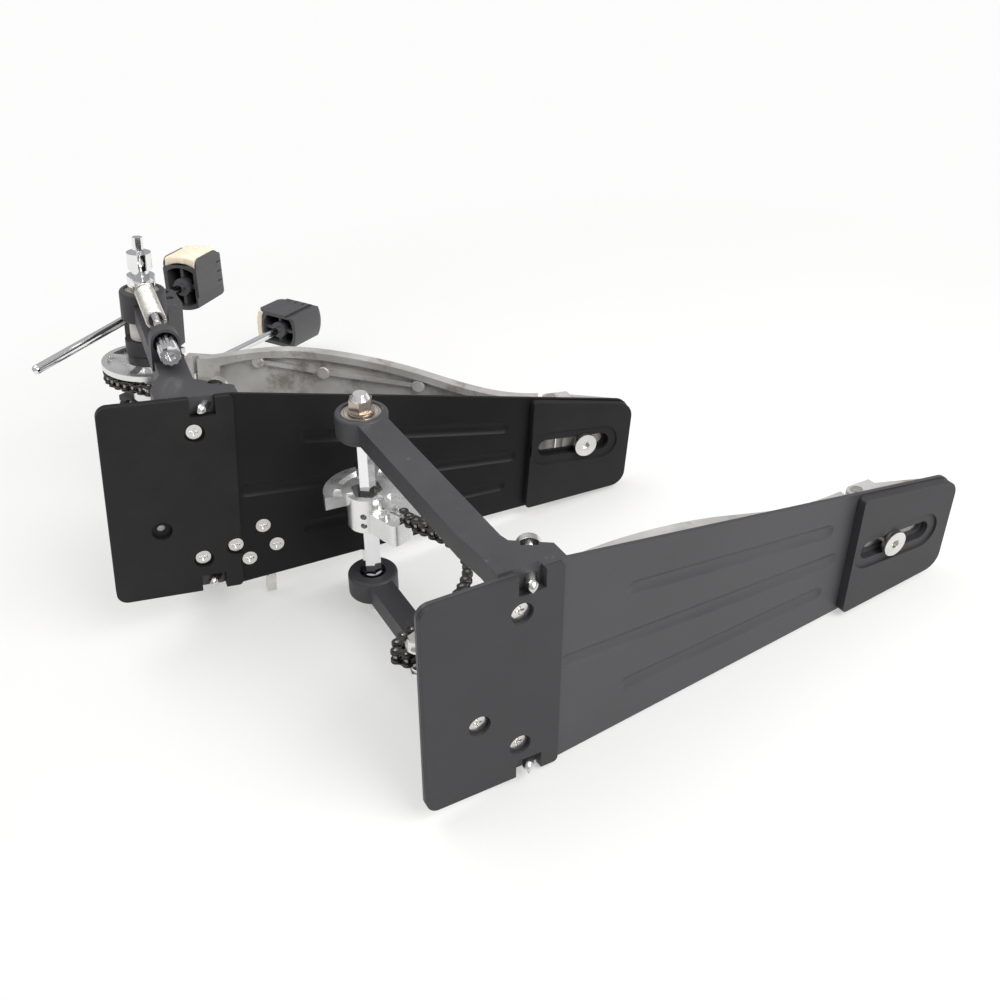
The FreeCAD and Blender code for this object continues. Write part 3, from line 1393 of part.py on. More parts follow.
def holder(side):
    offset = f"{side}_rod_offset"
    outer = f"-{offset} - holder_side"
    left = f"{side}_holder_left"
    width = f"{side}_holder_right - ({left})"
    ring_left = f"{side}_ring_left"
    ring_right = "left_ring_right" if side == "left" else "right_holder_right"
    if side == "left":
        shape = [(outer, "left_block_low"), (outer, "left_block_high"),
                 ("left_block_slope_x", "left_block_high"),
                 ("left_block_edge_x", "left_block_edge_z"), ("left_block_foot_x", "left_block_low")]
        block = prism(shape, left, width, "XZ")
        bore_radius = "left_sleeve_radius + running_gap"
        spaces = [rod("hub_radius + slide_gap", "arm_thickness", "0",
                      "-main_left_hub - arm_thickness + slide_gap", "0", "Y"),
                  rod("centre_collar_radius + slide_gap", "arm_thickness", "0", "left_ring_right", "0", "Y")]
    else:
        block = box(outer, left, "holder_low", f"-holder_ring_radius / 2 - ({outer})", width,
                    "holder_high - holder_low")
        bore_radius = "axle_flats / sqrt(3) + screw_gap"
        spaces = []
    band = rod("holder_ring_radius", f"{ring_right} - ({ring_left})", "0", ring_left, "0", "Y")
    bore = rod(bore_radius, "4 * holder_ring_radius", "0", f"{ring_left} - holder_ring_radius", "0", "Y")
    slide = rod("beater_rod_radius + running_gap", "4 * left_block_high", f"-{offset}", f"{side}_rod_y",
                "-2 * left_block_high")
    seam = box(f"{outer} - holder_seam", f"{side}_rod_y - holder_seam / 2", "holder_low - holder_seam",
               "holder_side", "holder_seam", "2 * left_block_high")
    tools = [bore, slide, seam] + spaces
    for index in (1, 2):
        tools.append(rod("holder_bolt_radius", "2 * holder_bolt_depth", f"{side}_bolt_{index}_x",
                         f"{left} - holder_bolt_depth", f"{side}_bolt_{index}_z", "Y"))
    node(f"main_{side}_holder", cut(fuse(block, band), *tools), beater_frame(side))


def beater_rod(side):
    place = (f"-{side}_rod_offset", f"{side}_rod_y", f"{side}_rod_tail")
    shank = rod("beater_rod_radius", "beater_rod_length", *place)
    node(f"main_{side}_rod", fuse(shank, ball("beater_rod_radius", *place)), beater_frame(side))


def head_frame(side):
    offset, across, along = (getattr(D, f"{side}_{key}") for key in ("rod_offset", "rod_y", "head_at"))
    spot = FreeCAD.Vector(-offset, across, along)
    spin = FreeCAD.Rotation(FreeCAD.Vector(0, 0, 1), getattr(D, f"{side}_head_spin"))
    return beater_frame(side) * FreeCAD.Placement(spot, spin)


def head_prism(inset, low, high):
    half = D.head_depth / 2 - D.head_bulge - inset
    wide = D.head_width / 2 - inset
    places = ((half, -wide), (half, wide), (-half, wide), (-half, -wide))
    corners = [FreeCAD.Vector(x, y, low) for x, y in places]
    bows = [FreeCAD.Vector(sign * (half + D.head_bulge), 0, low) for sign in (1, -1)]
    edges = [Part.Arc(corners[0], bows[0], corners[1]).toShape(), Part.makeLine(corners[1], corners[2]),
             Part.Arc(corners[2], bows[1], corners[3]).toShape(), Part.makeLine(corners[3], corners[0])]
    return Part.Face(Part.Wire(edges)).extrude(FreeCAD.Vector(0, 0, high - low))


def head_steps():
    tools = []
    face = D.head_width / 2
    groove_low = D.head_height - D.head_corner / 2 - D.groove_length
    for sign in (1, -1):
        edges = [sign * (face - D.head_lip_inset), sign * D.head_width]
        tools.append(plain_box(FreeCAD.Vector(D.head_depth / 2 - D.head_lip_depth, min(edges), -D.head_wall),
                               FreeCAD.Vector(D.head_depth, max(edges), 2 * D.head_height)))
        edges = [sign * (face - D.groove_depth), sign * D.head_width]
        for step in (-1, 0, 1):
            start = step * D.groove_spacing - D.head_lip_depth / 2
            tools.append(plain_box(FreeCAD.Vector(start, min(edges), groove_low),
                                   FreeCAD.Vector(start + D.groove_width, max(edges),
                                                  groove_low + D.groove_length)))
    return tools


def beater_head(side):
    cap = plain_box(FreeCAD.Vector(-D.head_depth / 2 - D.felt_thickness, -D.head_width / 2,
                                   D.head_height - D.head_cap),
                    FreeCAD.Vector(0, D.head_width / 2, D.head_height))
    outer = head_prism(0.0, 0.0, D.head_height).fuse(cap).removeSplitter()
    top_edges = [edge for edge in outer.Edges if edge.CenterOfMass.z > D.head_height - D.running_gap]
    outer = outer.makeFillet(D.head_corner, top_edges)
    hollow = head_prism(D.head_wall, -D.head_wall, D.head_cavity)
    ribs = [Part.makeCylinder(D.head_hub_radius, D.head_height, FreeCAD.Vector(0, 0, 0)),
            plain_box(FreeCAD.Vector(-D.head_depth, -D.head_rib / 2, D.head_wall),
                      FreeCAD.Vector(D.head_depth, D.head_rib / 2, D.head_height)),
            plain_box(FreeCAD.Vector(-D.head_rib / 2, -D.head_width, D.head_wall),
                      FreeCAD.Vector(D.head_rib / 2, D.head_width, D.head_height))]
    seat = D.beater_rod_length + getattr(D, f"{side}_rod_tail") - getattr(D, f"{side}_head_at") + D.screw_gap
    bore = Part.makeCylinder(D.beater_rod_radius + D.running_gap, seat + D.head_wall,
                             FreeCAD.Vector(0, 0, -D.head_wall))
    whole = outer.cut(hollow.cut(ribs)).cut([bore] + head_steps())
    node(f"main_{side}_head", solid(whole), head_frame(side))


def beater_felt(side):
    low = (D.head_height - D.head_corner - D.felt_height) / 2
    shell = head_prism(-D.felt_thickness, low, low + D.felt_height)
    inner = head_prism(0.0, low - D.head_wall, low + D.felt_height + D.head_wall)
    keep = plain_box(FreeCAD.Vector(-2 * D.head_depth, -D.head_width / 2, 0),
                     FreeCAD.Vector(D.head_bulge - D.head_depth / 2, D.head_width / 2, D.head_height))
    felt = shell.cut(inner).common(keep)
    face = -D.head_depth / 2 - D.felt_thickness / 2
    outer_edges = [edge for edge in felt.Edges if edge.CenterOfMass.x < face]
    node(f"main_{side}_felt", solid(felt.makeFillet(D.felt_edge, outer_edges)), head_frame(side))


# Hoop clamp under the main pedal's toe

def hoop_clamp():
    frame = pedal_frame("main")
    bed = box("bed_front", "-bed_half", "plate_thickness", "block_front + bed_overlap - bed_front",
              "2 * bed_half", "bed_top - plate_thickness")
    block = box("block_front", "block_left", "plate_thickness", "block_back - block_front",
                "block_right - block_left", "block_top - plate_thickness")
    ears = []
    for side in SIDES:
        start, width = span(side, "ear_inner", "ear_inner + ear_thickness")
        ears.append(box("ear_front", start, "plate_thickness", "ear_back - ear_front", width,
                        "ear_top - plate_thickness"))
    pin_reach = "ear_inner + ear_thickness + nut_washer"
    tools = [rod("key_radius + running_gap", "2 * key_right", "key_x", "-key_right / 2", "key_z", "Y"),
             rod("jaw_pin_radius + running_gap", f"4 * ({pin_reach})", "jaw_pivot_x", f"-2 * ({pin_reach})",
                 "jaw_pivot_z", "Y")]
    for x, y, length in screw_spots("main"):
        tools.append(rod("screw_radius + screw_gap", f"{length} + screw_gap", x, y, "0"))
    node("main_clamp_block", cut(fuse(bed, block, *ears), *tools), frame)
    node("main_jaw_pin", group(rod("jaw_pin_radius", f"2 * ({pin_reach})", "jaw_pivot_x", f"-({pin_reach})",
                                   "jaw_pivot_z", "Y")), frame)
    shape = [("jaw_tail", "jaw_tail_low"), ("jaw_tail", "jaw_tail_high"), ("jaw_neck_x", "jaw_neck_high"),
             ("jaw_rise_x", "jaw_over"), ("jaw_front", "jaw_over"), ("jaw_front", "jaw_lip_low"),
             ("jaw_lip_back", "jaw_lip_low"), ("jaw_lip_back", "jaw_under"), ("jaw_rise_x", "jaw_under"),
             ("ear_front", "jaw_neck_low"), ("jaw_neck_x", "jaw_neck_low")]
    lever = prism(shape, "-jaw_half", "2 * jaw_half", "XZ")
    pivot = rod("jaw_pin_radius + running_gap", "4 * jaw_half", "jaw_pivot_x", "-2 * jaw_half", "jaw_pivot_z",
                "Y")
    node("main_hoop_jaw", cut(lever, pivot), frame)
    shaft = rod("key_radius", "key_right - key_square_length - key_left", "key_x", "key_left", "key_z", "Y")
    lobe = rod("lobe_radius", "2 * lobe_half", "key_x", "-lobe_half", "key_z - lobe_offset", "Y")
    collar = rod("key_collar_radius", "key_collar_length", "key_x", "block_right + slide_gap", "key_z", "Y")
    square = box("key_x - key_square / 2", "key_right - key_square_length", "key_z - key_square / 2",
                 "key_square", "key_square_length", "key_square")
    node("main_clamp_shaft", fuse(shaft, lobe, collar, square), frame)


def pedal(name):
    base_plate(name)
    toe_pad(name)
    heel_pad(name)
    base_screws(name)
    bearings(name)
    for side in SIDES:
        post(name, side)
        spur(name, side)
    heel_plate(name)
    heel_screw(name)
    hinge_pin(name)
    footboard(name)
    chain_bolt(name)
    cam(name)
    chain_clamp(name)
    chain(name, main_path() if name == "main" else second_path())


def build():
    for name in PEDALS:
        pedal(name)
    second_axle()
    main_axle()
    left_stub()
    springs()
    spring_rods()
    for side in SIDES:
        rocker(side)
        tension_nut(side)
        holder(side)
        beater_rod(side)
        beater_head(side)
        beater_felt(side)
    hoop_clamp()
    for label, item, frame in NODES:
        item.Placement = frame
    DOC.recompute()
    for item in DOC.Objects:
        if {"Invalid", "Error"} & set(item.State):
            raise RuntimeError(f"{item.Label}: {item.State}")
    os.makedirs("parts", exist_ok=True)
    for label, item, frame in NODES:
        if item.Shape.isNull() or not item.Shape.isValid():
            raise RuntimeError(f"{label}: shape is not valid")
        item.Shape.exportStep(f"parts/{label}.step")
    print("nodes", len(NODES))


if __name__ == "__main__":
    build()
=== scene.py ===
import json
import math

import bmesh
import bpy
import numpy as np
from mathutils import Matrix, Vector
from mathutils import noise as mathutils_noise

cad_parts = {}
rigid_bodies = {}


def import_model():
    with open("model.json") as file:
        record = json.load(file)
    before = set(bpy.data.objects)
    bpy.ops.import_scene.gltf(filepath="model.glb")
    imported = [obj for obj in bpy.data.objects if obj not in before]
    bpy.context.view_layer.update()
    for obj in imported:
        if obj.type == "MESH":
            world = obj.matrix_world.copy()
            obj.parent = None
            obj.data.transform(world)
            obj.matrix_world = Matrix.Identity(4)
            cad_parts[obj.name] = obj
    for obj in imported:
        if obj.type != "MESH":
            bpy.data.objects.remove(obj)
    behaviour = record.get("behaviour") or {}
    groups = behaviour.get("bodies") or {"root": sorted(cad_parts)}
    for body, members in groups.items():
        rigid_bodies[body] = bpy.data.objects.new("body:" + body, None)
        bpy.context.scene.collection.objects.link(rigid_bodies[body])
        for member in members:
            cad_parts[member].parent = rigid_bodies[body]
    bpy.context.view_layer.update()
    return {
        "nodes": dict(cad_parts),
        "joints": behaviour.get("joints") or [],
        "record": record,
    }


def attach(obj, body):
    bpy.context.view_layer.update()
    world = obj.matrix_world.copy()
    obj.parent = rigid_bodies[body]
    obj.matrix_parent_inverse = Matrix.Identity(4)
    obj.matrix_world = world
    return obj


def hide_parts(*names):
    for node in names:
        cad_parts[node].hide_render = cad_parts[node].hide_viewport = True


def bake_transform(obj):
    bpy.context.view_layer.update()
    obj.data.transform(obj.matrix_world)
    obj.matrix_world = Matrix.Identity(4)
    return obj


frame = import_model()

NODES = frame["nodes"]
JOINTS = {joint["name"]: joint for joint in frame["joints"]}
MM = 0.001
PEDALS = ("main", "second")
SIDES = {"left": -1, "right": 1}


# Frames of the two pedals, read from their joints: x toe to heel, y to the player's right, z up

AXLE_X = 50 * MM
AXLE_HEIGHT = 178 * MM


def pedal_frame(pedal):
    ex = Vector(JOINTS[f"{pedal}_heel_slide"]["axis"]).normalized()
    ey = -Vector(JOINTS[f"{pedal}_axle_turn"]["axis"]).normalized()
    ez = ex.cross(ey)
    origin = Vector(JOINTS[f"{pedal}_axle_turn"]["pos_m"]) - ex * AXLE_X - ez * AXLE_HEIGHT
    turn = Matrix((ex, ey, ez)).transposed().to_4x4()
    return Matrix.Translation(origin) @ turn


FRAMES = {pedal: pedal_frame(pedal) for pedal in PEDALS}


def spot(pedal, x, y, z):
    return FRAMES[pedal] @ (Vector((x, y, z)) * MM)


# Materials

def node(tree, kind, **values):
    made = tree.nodes.new(kind)
    for key, value in values.items():
        if key in made.inputs:
            made.inputs[key].default_value = value
        else:
            setattr(made, key, value)
    return made


def noise(tree, scale, detail=4.0, rough=0.6):
    coords = node(tree, "ShaderNodeTexCoord")
    grain = node(tree, "ShaderNodeTexNoise", Scale=scale, Detail=detail, Roughness=rough)
    tree.links.new(coords.outputs["Object"], grain.inputs["Vector"])
    return grain.outputs["Fac"]


def ramp(tree, source, stops):
    made = node(tree, "ShaderNodeValToRGB")
    made.color_ramp.elements[0].position = stops[0][0]
    made.color_ramp.elements[0].color = (*stops[0][1], 1)
    made.color_ramp.elements[1].position = stops[-1][0]
    made.color_ramp.elements[1].color = (*stops[-1][1], 1)
    for place, colour in stops[1:-1]:
        made.color_ramp.elements.new(place).color = (*colour, 1)
    tree.links.new(source, made.inputs["Fac"])
    return made.outputs["Color"]


def spread(tree, source, low, high, start=0.35, end=0.65):
    made = node(tree, "ShaderNodeMapRange")
    made.inputs["From Min"].default_value = start
    made.inputs["From Max"].default_value = end
    made.inputs["To Min"].default_value = low
    made.inputs["To Max"].default_value = high
    tree.links.new(source, made.inputs["Value"])
    return made.outputs["Result"]


def blend_colour(tree, share, first, second):
    made = node(tree, "ShaderNodeMix", data_type="RGBA")
    tree.links.new(share, made.inputs["Factor"])
    for index, colour in ((6, first), (7, second)):
        if isinstance(colour, tuple):
            made.inputs[index].default_value = (*colour, 1)
        else:
            tree.links.new(colour, made.inputs[index])
    return made.outputs[2]


def bump(tree, shader, source, strength, distance):
    made = node(tree, "ShaderNodeBump", Strength=strength, Distance=distance)
    tree.links.new(source, made.inputs["Height"])
    tree.links.new(made.outputs["Normal"], shader.inputs["Normal"])


def new_material(name, metallic=0.0, specular=0.5):
    made = bpy.data.materials.new(name)
    made.use_nodes = True
    tree = made.node_tree
    shader = tree.nodes["Principled BSDF"]
    shader.inputs["Metallic"].default_value = metallic
    shader.inputs["Specular IOR Level"].default_value = specular
    return made, tree, shader


MOTTLE_STOPS = (0.3, 0.7)
SCUFF_SHARE = 0.8
SCUFF_BAND = 0.12


def worn(name, dark, light, rough, mottle, grain, scuff=None, metallic=0.0, specular=0.5):
    """A surface with slow colour changes, fine grain in its height and, if asked, scuffs."""
    made, tree, shader = new_material(name, metallic, specular)
    slow = noise(tree, mottle, 5.0, 0.55)
    colour = ramp(tree, slow, list(zip(MOTTLE_STOPS, (dark, light))))
    if scuff:
        scuff_colour, scuff_scale, scuff_from = scuff
        flecks = noise(tree, scuff_scale, 9.0, 0.72)
        marks = spread(tree, flecks, 0.0, SCUFF_SHARE, scuff_from, scuff_from + SCUFF_BAND)
        colour = blend_colour(tree, marks, colour, scuff_colour)
    tree.links.new(colour, shader.inputs["Base Color"])
    tree.links.new(spread(tree, slow, *rough), shader.inputs["Roughness"])
    grain_scale, grain_height, grain_strength = grain
    bump(tree, shader, noise(tree, grain_scale, 3.0, 0.5), grain_strength, grain_height)
    return made


# Grains: scale, height in metres and strength
COARSE_COAT = (1700.0, 0.00008, 0.6)
FINE_COAT = (2200.0, 0.00003, 0.25)
RUBBER_SKIN = (1900.0, 0.00006, 0.35)
CAST_SKIN = (650.0, 0.0002, 0.6)
POLISH = (900.0, 0.00005, 0.15)
BRIGHT_PLATE = (700.0, 0.00002, 0.03)
DULL_PLATE = (2500.0, 0.00002, 0.15)
DRAWN_WIRE = (3000.0, 0.00002, 0.15)
STAMPED = (3000.0, 0.00002, 0.2)
MOULDED = (2600.0, 0.00003, 0.2)
TURNED_NYLON = (2200.0, 0.00003, 0.15)
PRESSED_WOOL = (2600.0, 0.0003, 0.6)

# Each material: dark and light tones, roughness range, mottle scale, grain, scuffs (tone, scale, start)
MATERIALS = {
    "black_coat": worn("black_powder_coat", (0.036, 0.036, 0.039), (0.05, 0.05, 0.054), (0.46, 0.6), 25.0,
                       COARSE_COAT, ((0.2, 0.197, 0.192), 75.0, 0.63)),
    # The main base plate: the same black coat, made darker as painted shade from the second pedal's shadow
    "plate_coat": worn("black_plate_coat", (0.0075, 0.0075, 0.0085), (0.012, 0.012, 0.013), (0.4, 0.52), 16.0,
                       FINE_COAT, ((0.045, 0.044, 0.043), 45.0, 0.7), specular=0.16),
    # The second base plate: the same black coat as the main plate, made lighter as painted light where it faces
    # the lamp
    "lit_second_plate": worn("worn_plate_coat", (0.044, 0.044, 0.047), (0.056, 0.056, 0.06), (0.36, 0.5), 14.0,
                            FINE_COAT, ((0.1, 0.1, 0.1), 45.0, 0.7), specular=0.36),
    "black_rubber": worn("black_rubber", (0.011, 0.011, 0.012), (0.019, 0.0185, 0.0185), (0.5, 0.66), 30.0,
                         RUBBER_SKIN, ((0.06, 0.05, 0.043), 40.0, 0.7), specular=0.2),
    # The second pedal's pads: the same black rubber, made lighter as painted light where they face the lamp
    "lit_second_rubber": worn("worn_rubber", (0.03, 0.03, 0.032), (0.04, 0.04, 0.043), (0.46, 0.62), 30.0,
                        RUBBER_SKIN, ((0.09, 0.08, 0.07), 40.0, 0.7), specular=0.3),
    "cast_aluminium": worn("raw_cast_aluminium", (0.44, 0.425, 0.4), (0.62, 0.61, 0.59), (0.5, 0.64), 35.0,
                           CAST_SKIN, ((0.25, 0.22, 0.185), 38.0, 0.53), metallic=0.6),
    "bright_aluminium": worn("polished_aluminium", (0.74, 0.74, 0.735), (0.86, 0.86, 0.85), (0.2, 0.34), 60.0,
                             POLISH, ((0.5, 0.49, 0.47), 90.0, 0.68), metallic=0.9),
    "chrome": worn("chrome_plate", (0.80, 0.80, 0.81), (0.88, 0.88, 0.89), (0.05, 0.12), 50.0,
                   BRIGHT_PLATE, ((0.68, 0.67, 0.65), 160.0, 0.72), metallic=1.0),
    "zinc": worn("zinc_plate", (0.62, 0.61, 0.58), (0.78, 0.77, 0.74), (0.2, 0.34), 120.0,
                 DULL_PLATE, ((0.38, 0.33, 0.27), 220.0, 0.66), metallic=1.0),
    "dark_chain": worn("dark_chain_steel", (0.035, 0.034, 0.034), (0.11, 0.105, 0.1), (0.26, 0.42), 320.0,
                       STAMPED, ((0.4, 0.38, 0.34), 420.0, 0.67), metallic=0.85),
    "chain_pins": worn("chain_pin_steel", (0.2, 0.19, 0.18), (0.42, 0.4, 0.37), (0.22, 0.36), 420.0,
                       DRAWN_WIRE, ((0.62, 0.6, 0.56), 500.0, 0.6), metallic=1.0),
    "spring_steel": worn("spring_wire", (0.66, 0.64, 0.58), (0.86, 0.84, 0.78), (0.24, 0.38), 150.0,
                         DRAWN_WIRE, ((0.34, 0.29, 0.22), 240.0, 0.66), metallic=0.85),
    "black_plastic": worn("black_plastic", (0.048, 0.048, 0.051), (0.064, 0.064, 0.068), (0.3, 0.42), 60.0,
                          MOULDED, ((0.06, 0.06, 0.06), 130.0, 0.7)),
    "white_nylon": worn("white_nylon", (0.66, 0.64, 0.58), (0.8, 0.79, 0.74), (0.4, 0.52), 110.0,
                        TURNED_NYLON, ((0.5, 0.46, 0.38), 160.0, 0.68)),
    "felt": worn("tan_felt", (0.85, 0.72, 0.54), (0.95, 0.85, 0.68), (0.85, 0.95), 220.0,
                 PRESSED_WOOL, specular=0.2),
}

STEEL, CREAM, SEAM = (0.5, 0.46, 0.41), (0.74, 0.69, 0.58), (0.1, 0.075, 0.055)
DOME, AGED, STAIN = (0.84, 0.84, 0.84), (0.5, 0.43, 0.37), (0.26, 0.17, 0.11)
OUTER_RACE = (0.6, 0.55, 0.5)
BEARING_RINGS = [(0.0, STEEL), (0.24, STEEL), (0.27, SEAM), (0.31, CREAM), (0.66, CREAM), (0.7, SEAM),
                 (0.74, STEEL), (1.0, OUTER_RACE)]
BEARING_RADII = (6.0, 12.2)
NUT_RINGS = [(0.0, DOME), (0.88, DOME), (0.93, SEAM), (1.0, AGED)]
NUT_RADII = (0.0, 6.5)


def ringed(name, pedal, radii, stops, stain, rough):
    """A turned metal face whose colour goes by the distance from the axle, with stains."""
    made, tree, shader = new_material(name, metallic=0.85)
    joint = JOINTS[f"{pedal}_axle_turn"]
    coords = node(tree, "ShaderNodeTexCoord")
    away = node(tree, "ShaderNodeVectorMath", operation="SUBTRACT")
    away.inputs[1].default_value = joint["pos_m"]
    tree.links.new(coords.outputs["Object"], away.inputs[0])
    across = node(tree, "ShaderNodeVectorMath", operation="CROSS_PRODUCT")
    across.inputs[1].default_value = Vector(joint["axis"]).normalized()
    tree.links.new(away.outputs["Vector"], across.inputs[0])
    distance = node(tree, "ShaderNodeVectorMath", operation="LENGTH")
    tree.links.new(across.outputs["Vector"], distance.inputs[0])
    low, high = radii
    shade = ramp(tree, spread(tree, distance.outputs["Value"], 0.0, 1.0, low * MM, high * MM), stops)
    stains = spread(tree, noise(tree, 260.0, 8.0, 0.7), 0.0, stain, 0.58, 0.7)
    shade = blend_colour(tree, stains, shade, STAIN)
    tree.links.new(shade, shader.inputs["Base Color"])
    tree.links.new(spread(tree, noise(tree, 180.0), *rough), shader.inputs["Roughness"])
    bump(tree, shader, noise(tree, 2500.0), 0.12, 0.00002)
    return made


SLOTS = {entry["node"]: entry["material_slot"] for entry in frame["record"]["subparts"]}
# Lit and shaded copies of one coat and one rubber: painted shade on the main plate, painted light on the second
# pedal's plate and pads
SPECIAL = {"main_base_plate": "plate_coat", "second_base_plate": "lit_second_plate",
           "second_toe_pad": "lit_second_rubber", "second_heel_pad": "lit_second_rubber"}
for pedal in PEDALS:
    bearings, nut = f"{pedal}_bearings", f"{pedal}_axle_nut"
    MATERIALS[bearings] = ringed(f"{pedal}_bearing_faces", pedal, BEARING_RADII, BEARING_RINGS, 0.55,
                                 (0.2, 0.36))
    MATERIALS[nut] = ringed(f"{pedal}_nut_faces", pedal, NUT_RADII, NUT_RINGS, 0.8, (0.1, 0.3))
    SPECIAL[bearings] = bearings
    SPECIAL[nut] = nut

for name, slot in SLOTS.items():
    mesh = NODES[name].data
    mesh.materials.clear()
    mesh.materials.append(MATERIALS[SPECIAL.get(name, slot)])


def body_of(name):
    return NODES[name].parent.name.split(":", 1)[1]


# Rigid pieces: the CAD node's own mesh with its sharp edges broken, so that they catch the light

WELD = 0.000002
FLAT_ANGLE = math.radians(0.4)
SHARP_ANGLE = math.radians(28)
EDGE_WIDTHS = {
    "post": 1.3, "holder": 1.0, "base_plate": 0.45, "toe_pad": 0.5, "heel_pad": 0.9, "footboard": 0.8,
    "heel_plate": 0.8, "cam": 0.25, "chain_clamp": 0.6, "head": 1.0, "rocker": 0.6, "spur": 0.4,
    "axle_nut": 0.4, "axle": 0.3, "spring_nut": 0.5, "chain_bolt": 0.3, "heel_screw": 0.4, "stub": 0.5,
    "base_screws": 0.2, "hoop_jaw": 0.8, "clamp_block": 0.8, "clamp_shaft": 0.4, "centre_collar": 0.8,
    "centre_bush": 0.5, "hinge_pin": 0.3, "jaw_pin": 0.3, "bearings": 0.2,
}
LIP_RISE = 2.2 * MM
CHEEK = 1.5 * MM
EDGE_BAND = 0.6 * MM


def middle_of(name):
    verts = NODES[name].data.vertices
    return sum((vert.co for vert in verts), Vector()) / len(verts)


def head_frame(side):
    """The head's directions (out through the felt, across it, along the rod) and the felt's ranges in them."""
    along = Vector(JOINTS[f"main_{side}_beater_height"]["axis"]).normalized()
    first = along.orthogonal().normalized()
    second = along.cross(first)
    spots = [vert.co for vert in NODES[f"main_{side}_felt"].data.vertices]
    flat = np.array([(place.dot(first), place.dot(second)) for place in spots])
    flat -= flat.mean(0)
    thin = np.linalg.eigh(flat.T @ flat)[1][:, 0]
    out = first * thin[0] + second * thin[1]
    if (middle_of(f"main_{side}_felt") - middle_of(f"main_{side}_head")).dot(out) < 0:
        out.negate()
    turn = Matrix((out, along.cross(out), along))
    cloud = np.array([turn @ place for place in spots])
    middle = (cloud[:, 1].min() + cloud[:, 1].max()) / 2
    half = (cloud[:, 1].max() - cloud[:, 1].min()) / 2
    edge = cloud[np.abs(cloud[:, 1] - middle) > half - EDGE_BAND]
    return turn, cloud, middle, half, edge[:, 0].min(), edge[:, 0].max()


HEAD_FRAMES = {side: head_frame(side) for side in SIDES}


def lower_lip(form, side):
    """Brings the lip at the head's far end below the felt's face."""
    turn, cloud, middle, half, low, high = HEAD_FRAMES[side]
    back = turn.transposed()
    for vert in form.verts:
        place = turn @ vert.co
        if place.x > low + LIP_RISE:
            place.x = low + LIP_RISE
            vert.co = back @ place


def soften(name, width):
    mesh = NODES[name].data.copy()
    form = bmesh.new()
    form.from_mesh(mesh)
    bmesh.ops.remove_doubles(form, verts=form.verts, dist=WELD)
    if name.endswith("head"):
        lower_lip(form, name.split("_")[1])
    bmesh.ops.dissolve_limit(form, angle_limit=FLAT_ANGLE, verts=form.verts, edges=form.edges)
    sharp = [edge for edge in form.edges if edge.is_manifold and edge.calc_face_angle() > SHARP_ANGLE]
    bmesh.ops.bevel(form, geom=sharp, offset=width * MM, offset_type="OFFSET", segments=2, profile=0.5,
                    affect="EDGES", clamp_overlap=True)
    form.to_mesh(mesh)
    form.free()
    stale = mesh.attributes.get("custom_normal")
    if stale:
        mesh.attributes.remove(stale)
    mesh.shade_smooth()
    mesh.set_sharp_from_angle(angle=SHARP_ANGLE)
    piece = bpy.data.objects.new(f"{name}_worn", mesh)
    bpy.context.scene.collection.objects.link(piece)
    weigh = piece.modifiers.new("even_shading", "WEIGHTED_NORMAL")
    weigh.keep_sharp = True
    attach(piece, body_of(name))
    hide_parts(name)


for name in SLOTS:
    for ending, width in EDGE_WIDTHS.items():
        if name.endswith(ending):
            soften(name, width)
            break


def add_mesh(name, verts, faces, smooth=True):
    mesh = bpy.data.meshes.new(name)
    mesh.from_pydata([tuple(v) for v in verts], [], faces)
    mesh.validate()
    for polygon in mesh.polygons:
        polygon.use_smooth = smooth
    piece = bpy.data.objects.new(name, mesh)
    bpy.context.scene.collection.objects.link(piece)
    return piece


# Springs: the wire wound from the eye rod's head up to the rocker's cap

SPRING_Y = 78.0
COIL_RADIUS = 5.9
WIRE_RADIUS = 0.95
COIL_LOW = 104.1
COIL_PITCH = 2.5
COIL_TURNS = 21
WIRE_SIDES = 12
TURN_STEPS = 32


def coil(pedal, side):
    verts = []
    faces = []
    steps = COIL_TURNS * TURN_STEPS
    for step in range(steps + 1):
        angle = 2 * math.pi * step / TURN_STEPS
        out = Vector((math.cos(angle), math.sin(angle), 0))
        centre = Vector((AXLE_X / MM, SIDES[side] * SPRING_Y, COIL_LOW + COIL_PITCH * step / TURN_STEPS))
        centre += out * COIL_RADIUS
        for corner in range(WIRE_SIDES):
            turn = 2 * math.pi * corner / WIRE_SIDES
            place = centre + out * (WIRE_RADIUS * math.cos(turn)) + Vector((0, 0, WIRE_RADIUS * math.sin(turn)))
            verts.append(spot(pedal, *place))
    for step in range(steps):
        for corner in range(WIRE_SIDES):
            after = (corner + 1) % WIRE_SIDES
            low = step * WIRE_SIDES
            faces.append((low + corner, low + after, low + WIRE_SIDES + after, low + WIRE_SIDES + corner))
    faces.append(tuple(range(WIRE_SIDES)))
    faces.append(tuple(reversed(range(steps * WIRE_SIDES, (steps + 1) * WIRE_SIDES))))
    return add_mesh(f"{pedal}_{side}_spring_wire", verts, faces)


for side in SIDES:
    wire = coil("main", side)
    wire.data.materials.append(MATERIALS["spring_steel"])
    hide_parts(f"main_{side}_spring")
    low = spot("main", AXLE_X / MM, SIDES[side] * SPRING_Y, COIL_LOW)
    high = spot("main", AXLE_X / MM, SIDES[side] * SPRING_Y, COIL_LOW + COIL_PITCH * COIL_TURNS)
    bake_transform(wire)


# Chains: waisted plates, riveted pins and bushes at the places of the CAD links

CHAIN_Y = -11.5
PITCH = 6.35
PLATE_END = 3.0
PLATE_WAIST = 2.0
PLATE_THICKNESS = 1.0
PLATE_EDGE = 0.22
OUTER_PLATE_Y = 3.3
INNER_PLATE_Y = 2.1
PIN_RADIUS = 1.2
PIN_REACH = 4.3
PIN_EDGE = 0.25
PIN_DOME_SHARE = 0.6
BUSH_RADIUS = 1.75
END_STEPS = 9
WAIST_STEPS = 5
ROUND_STEPS = 14


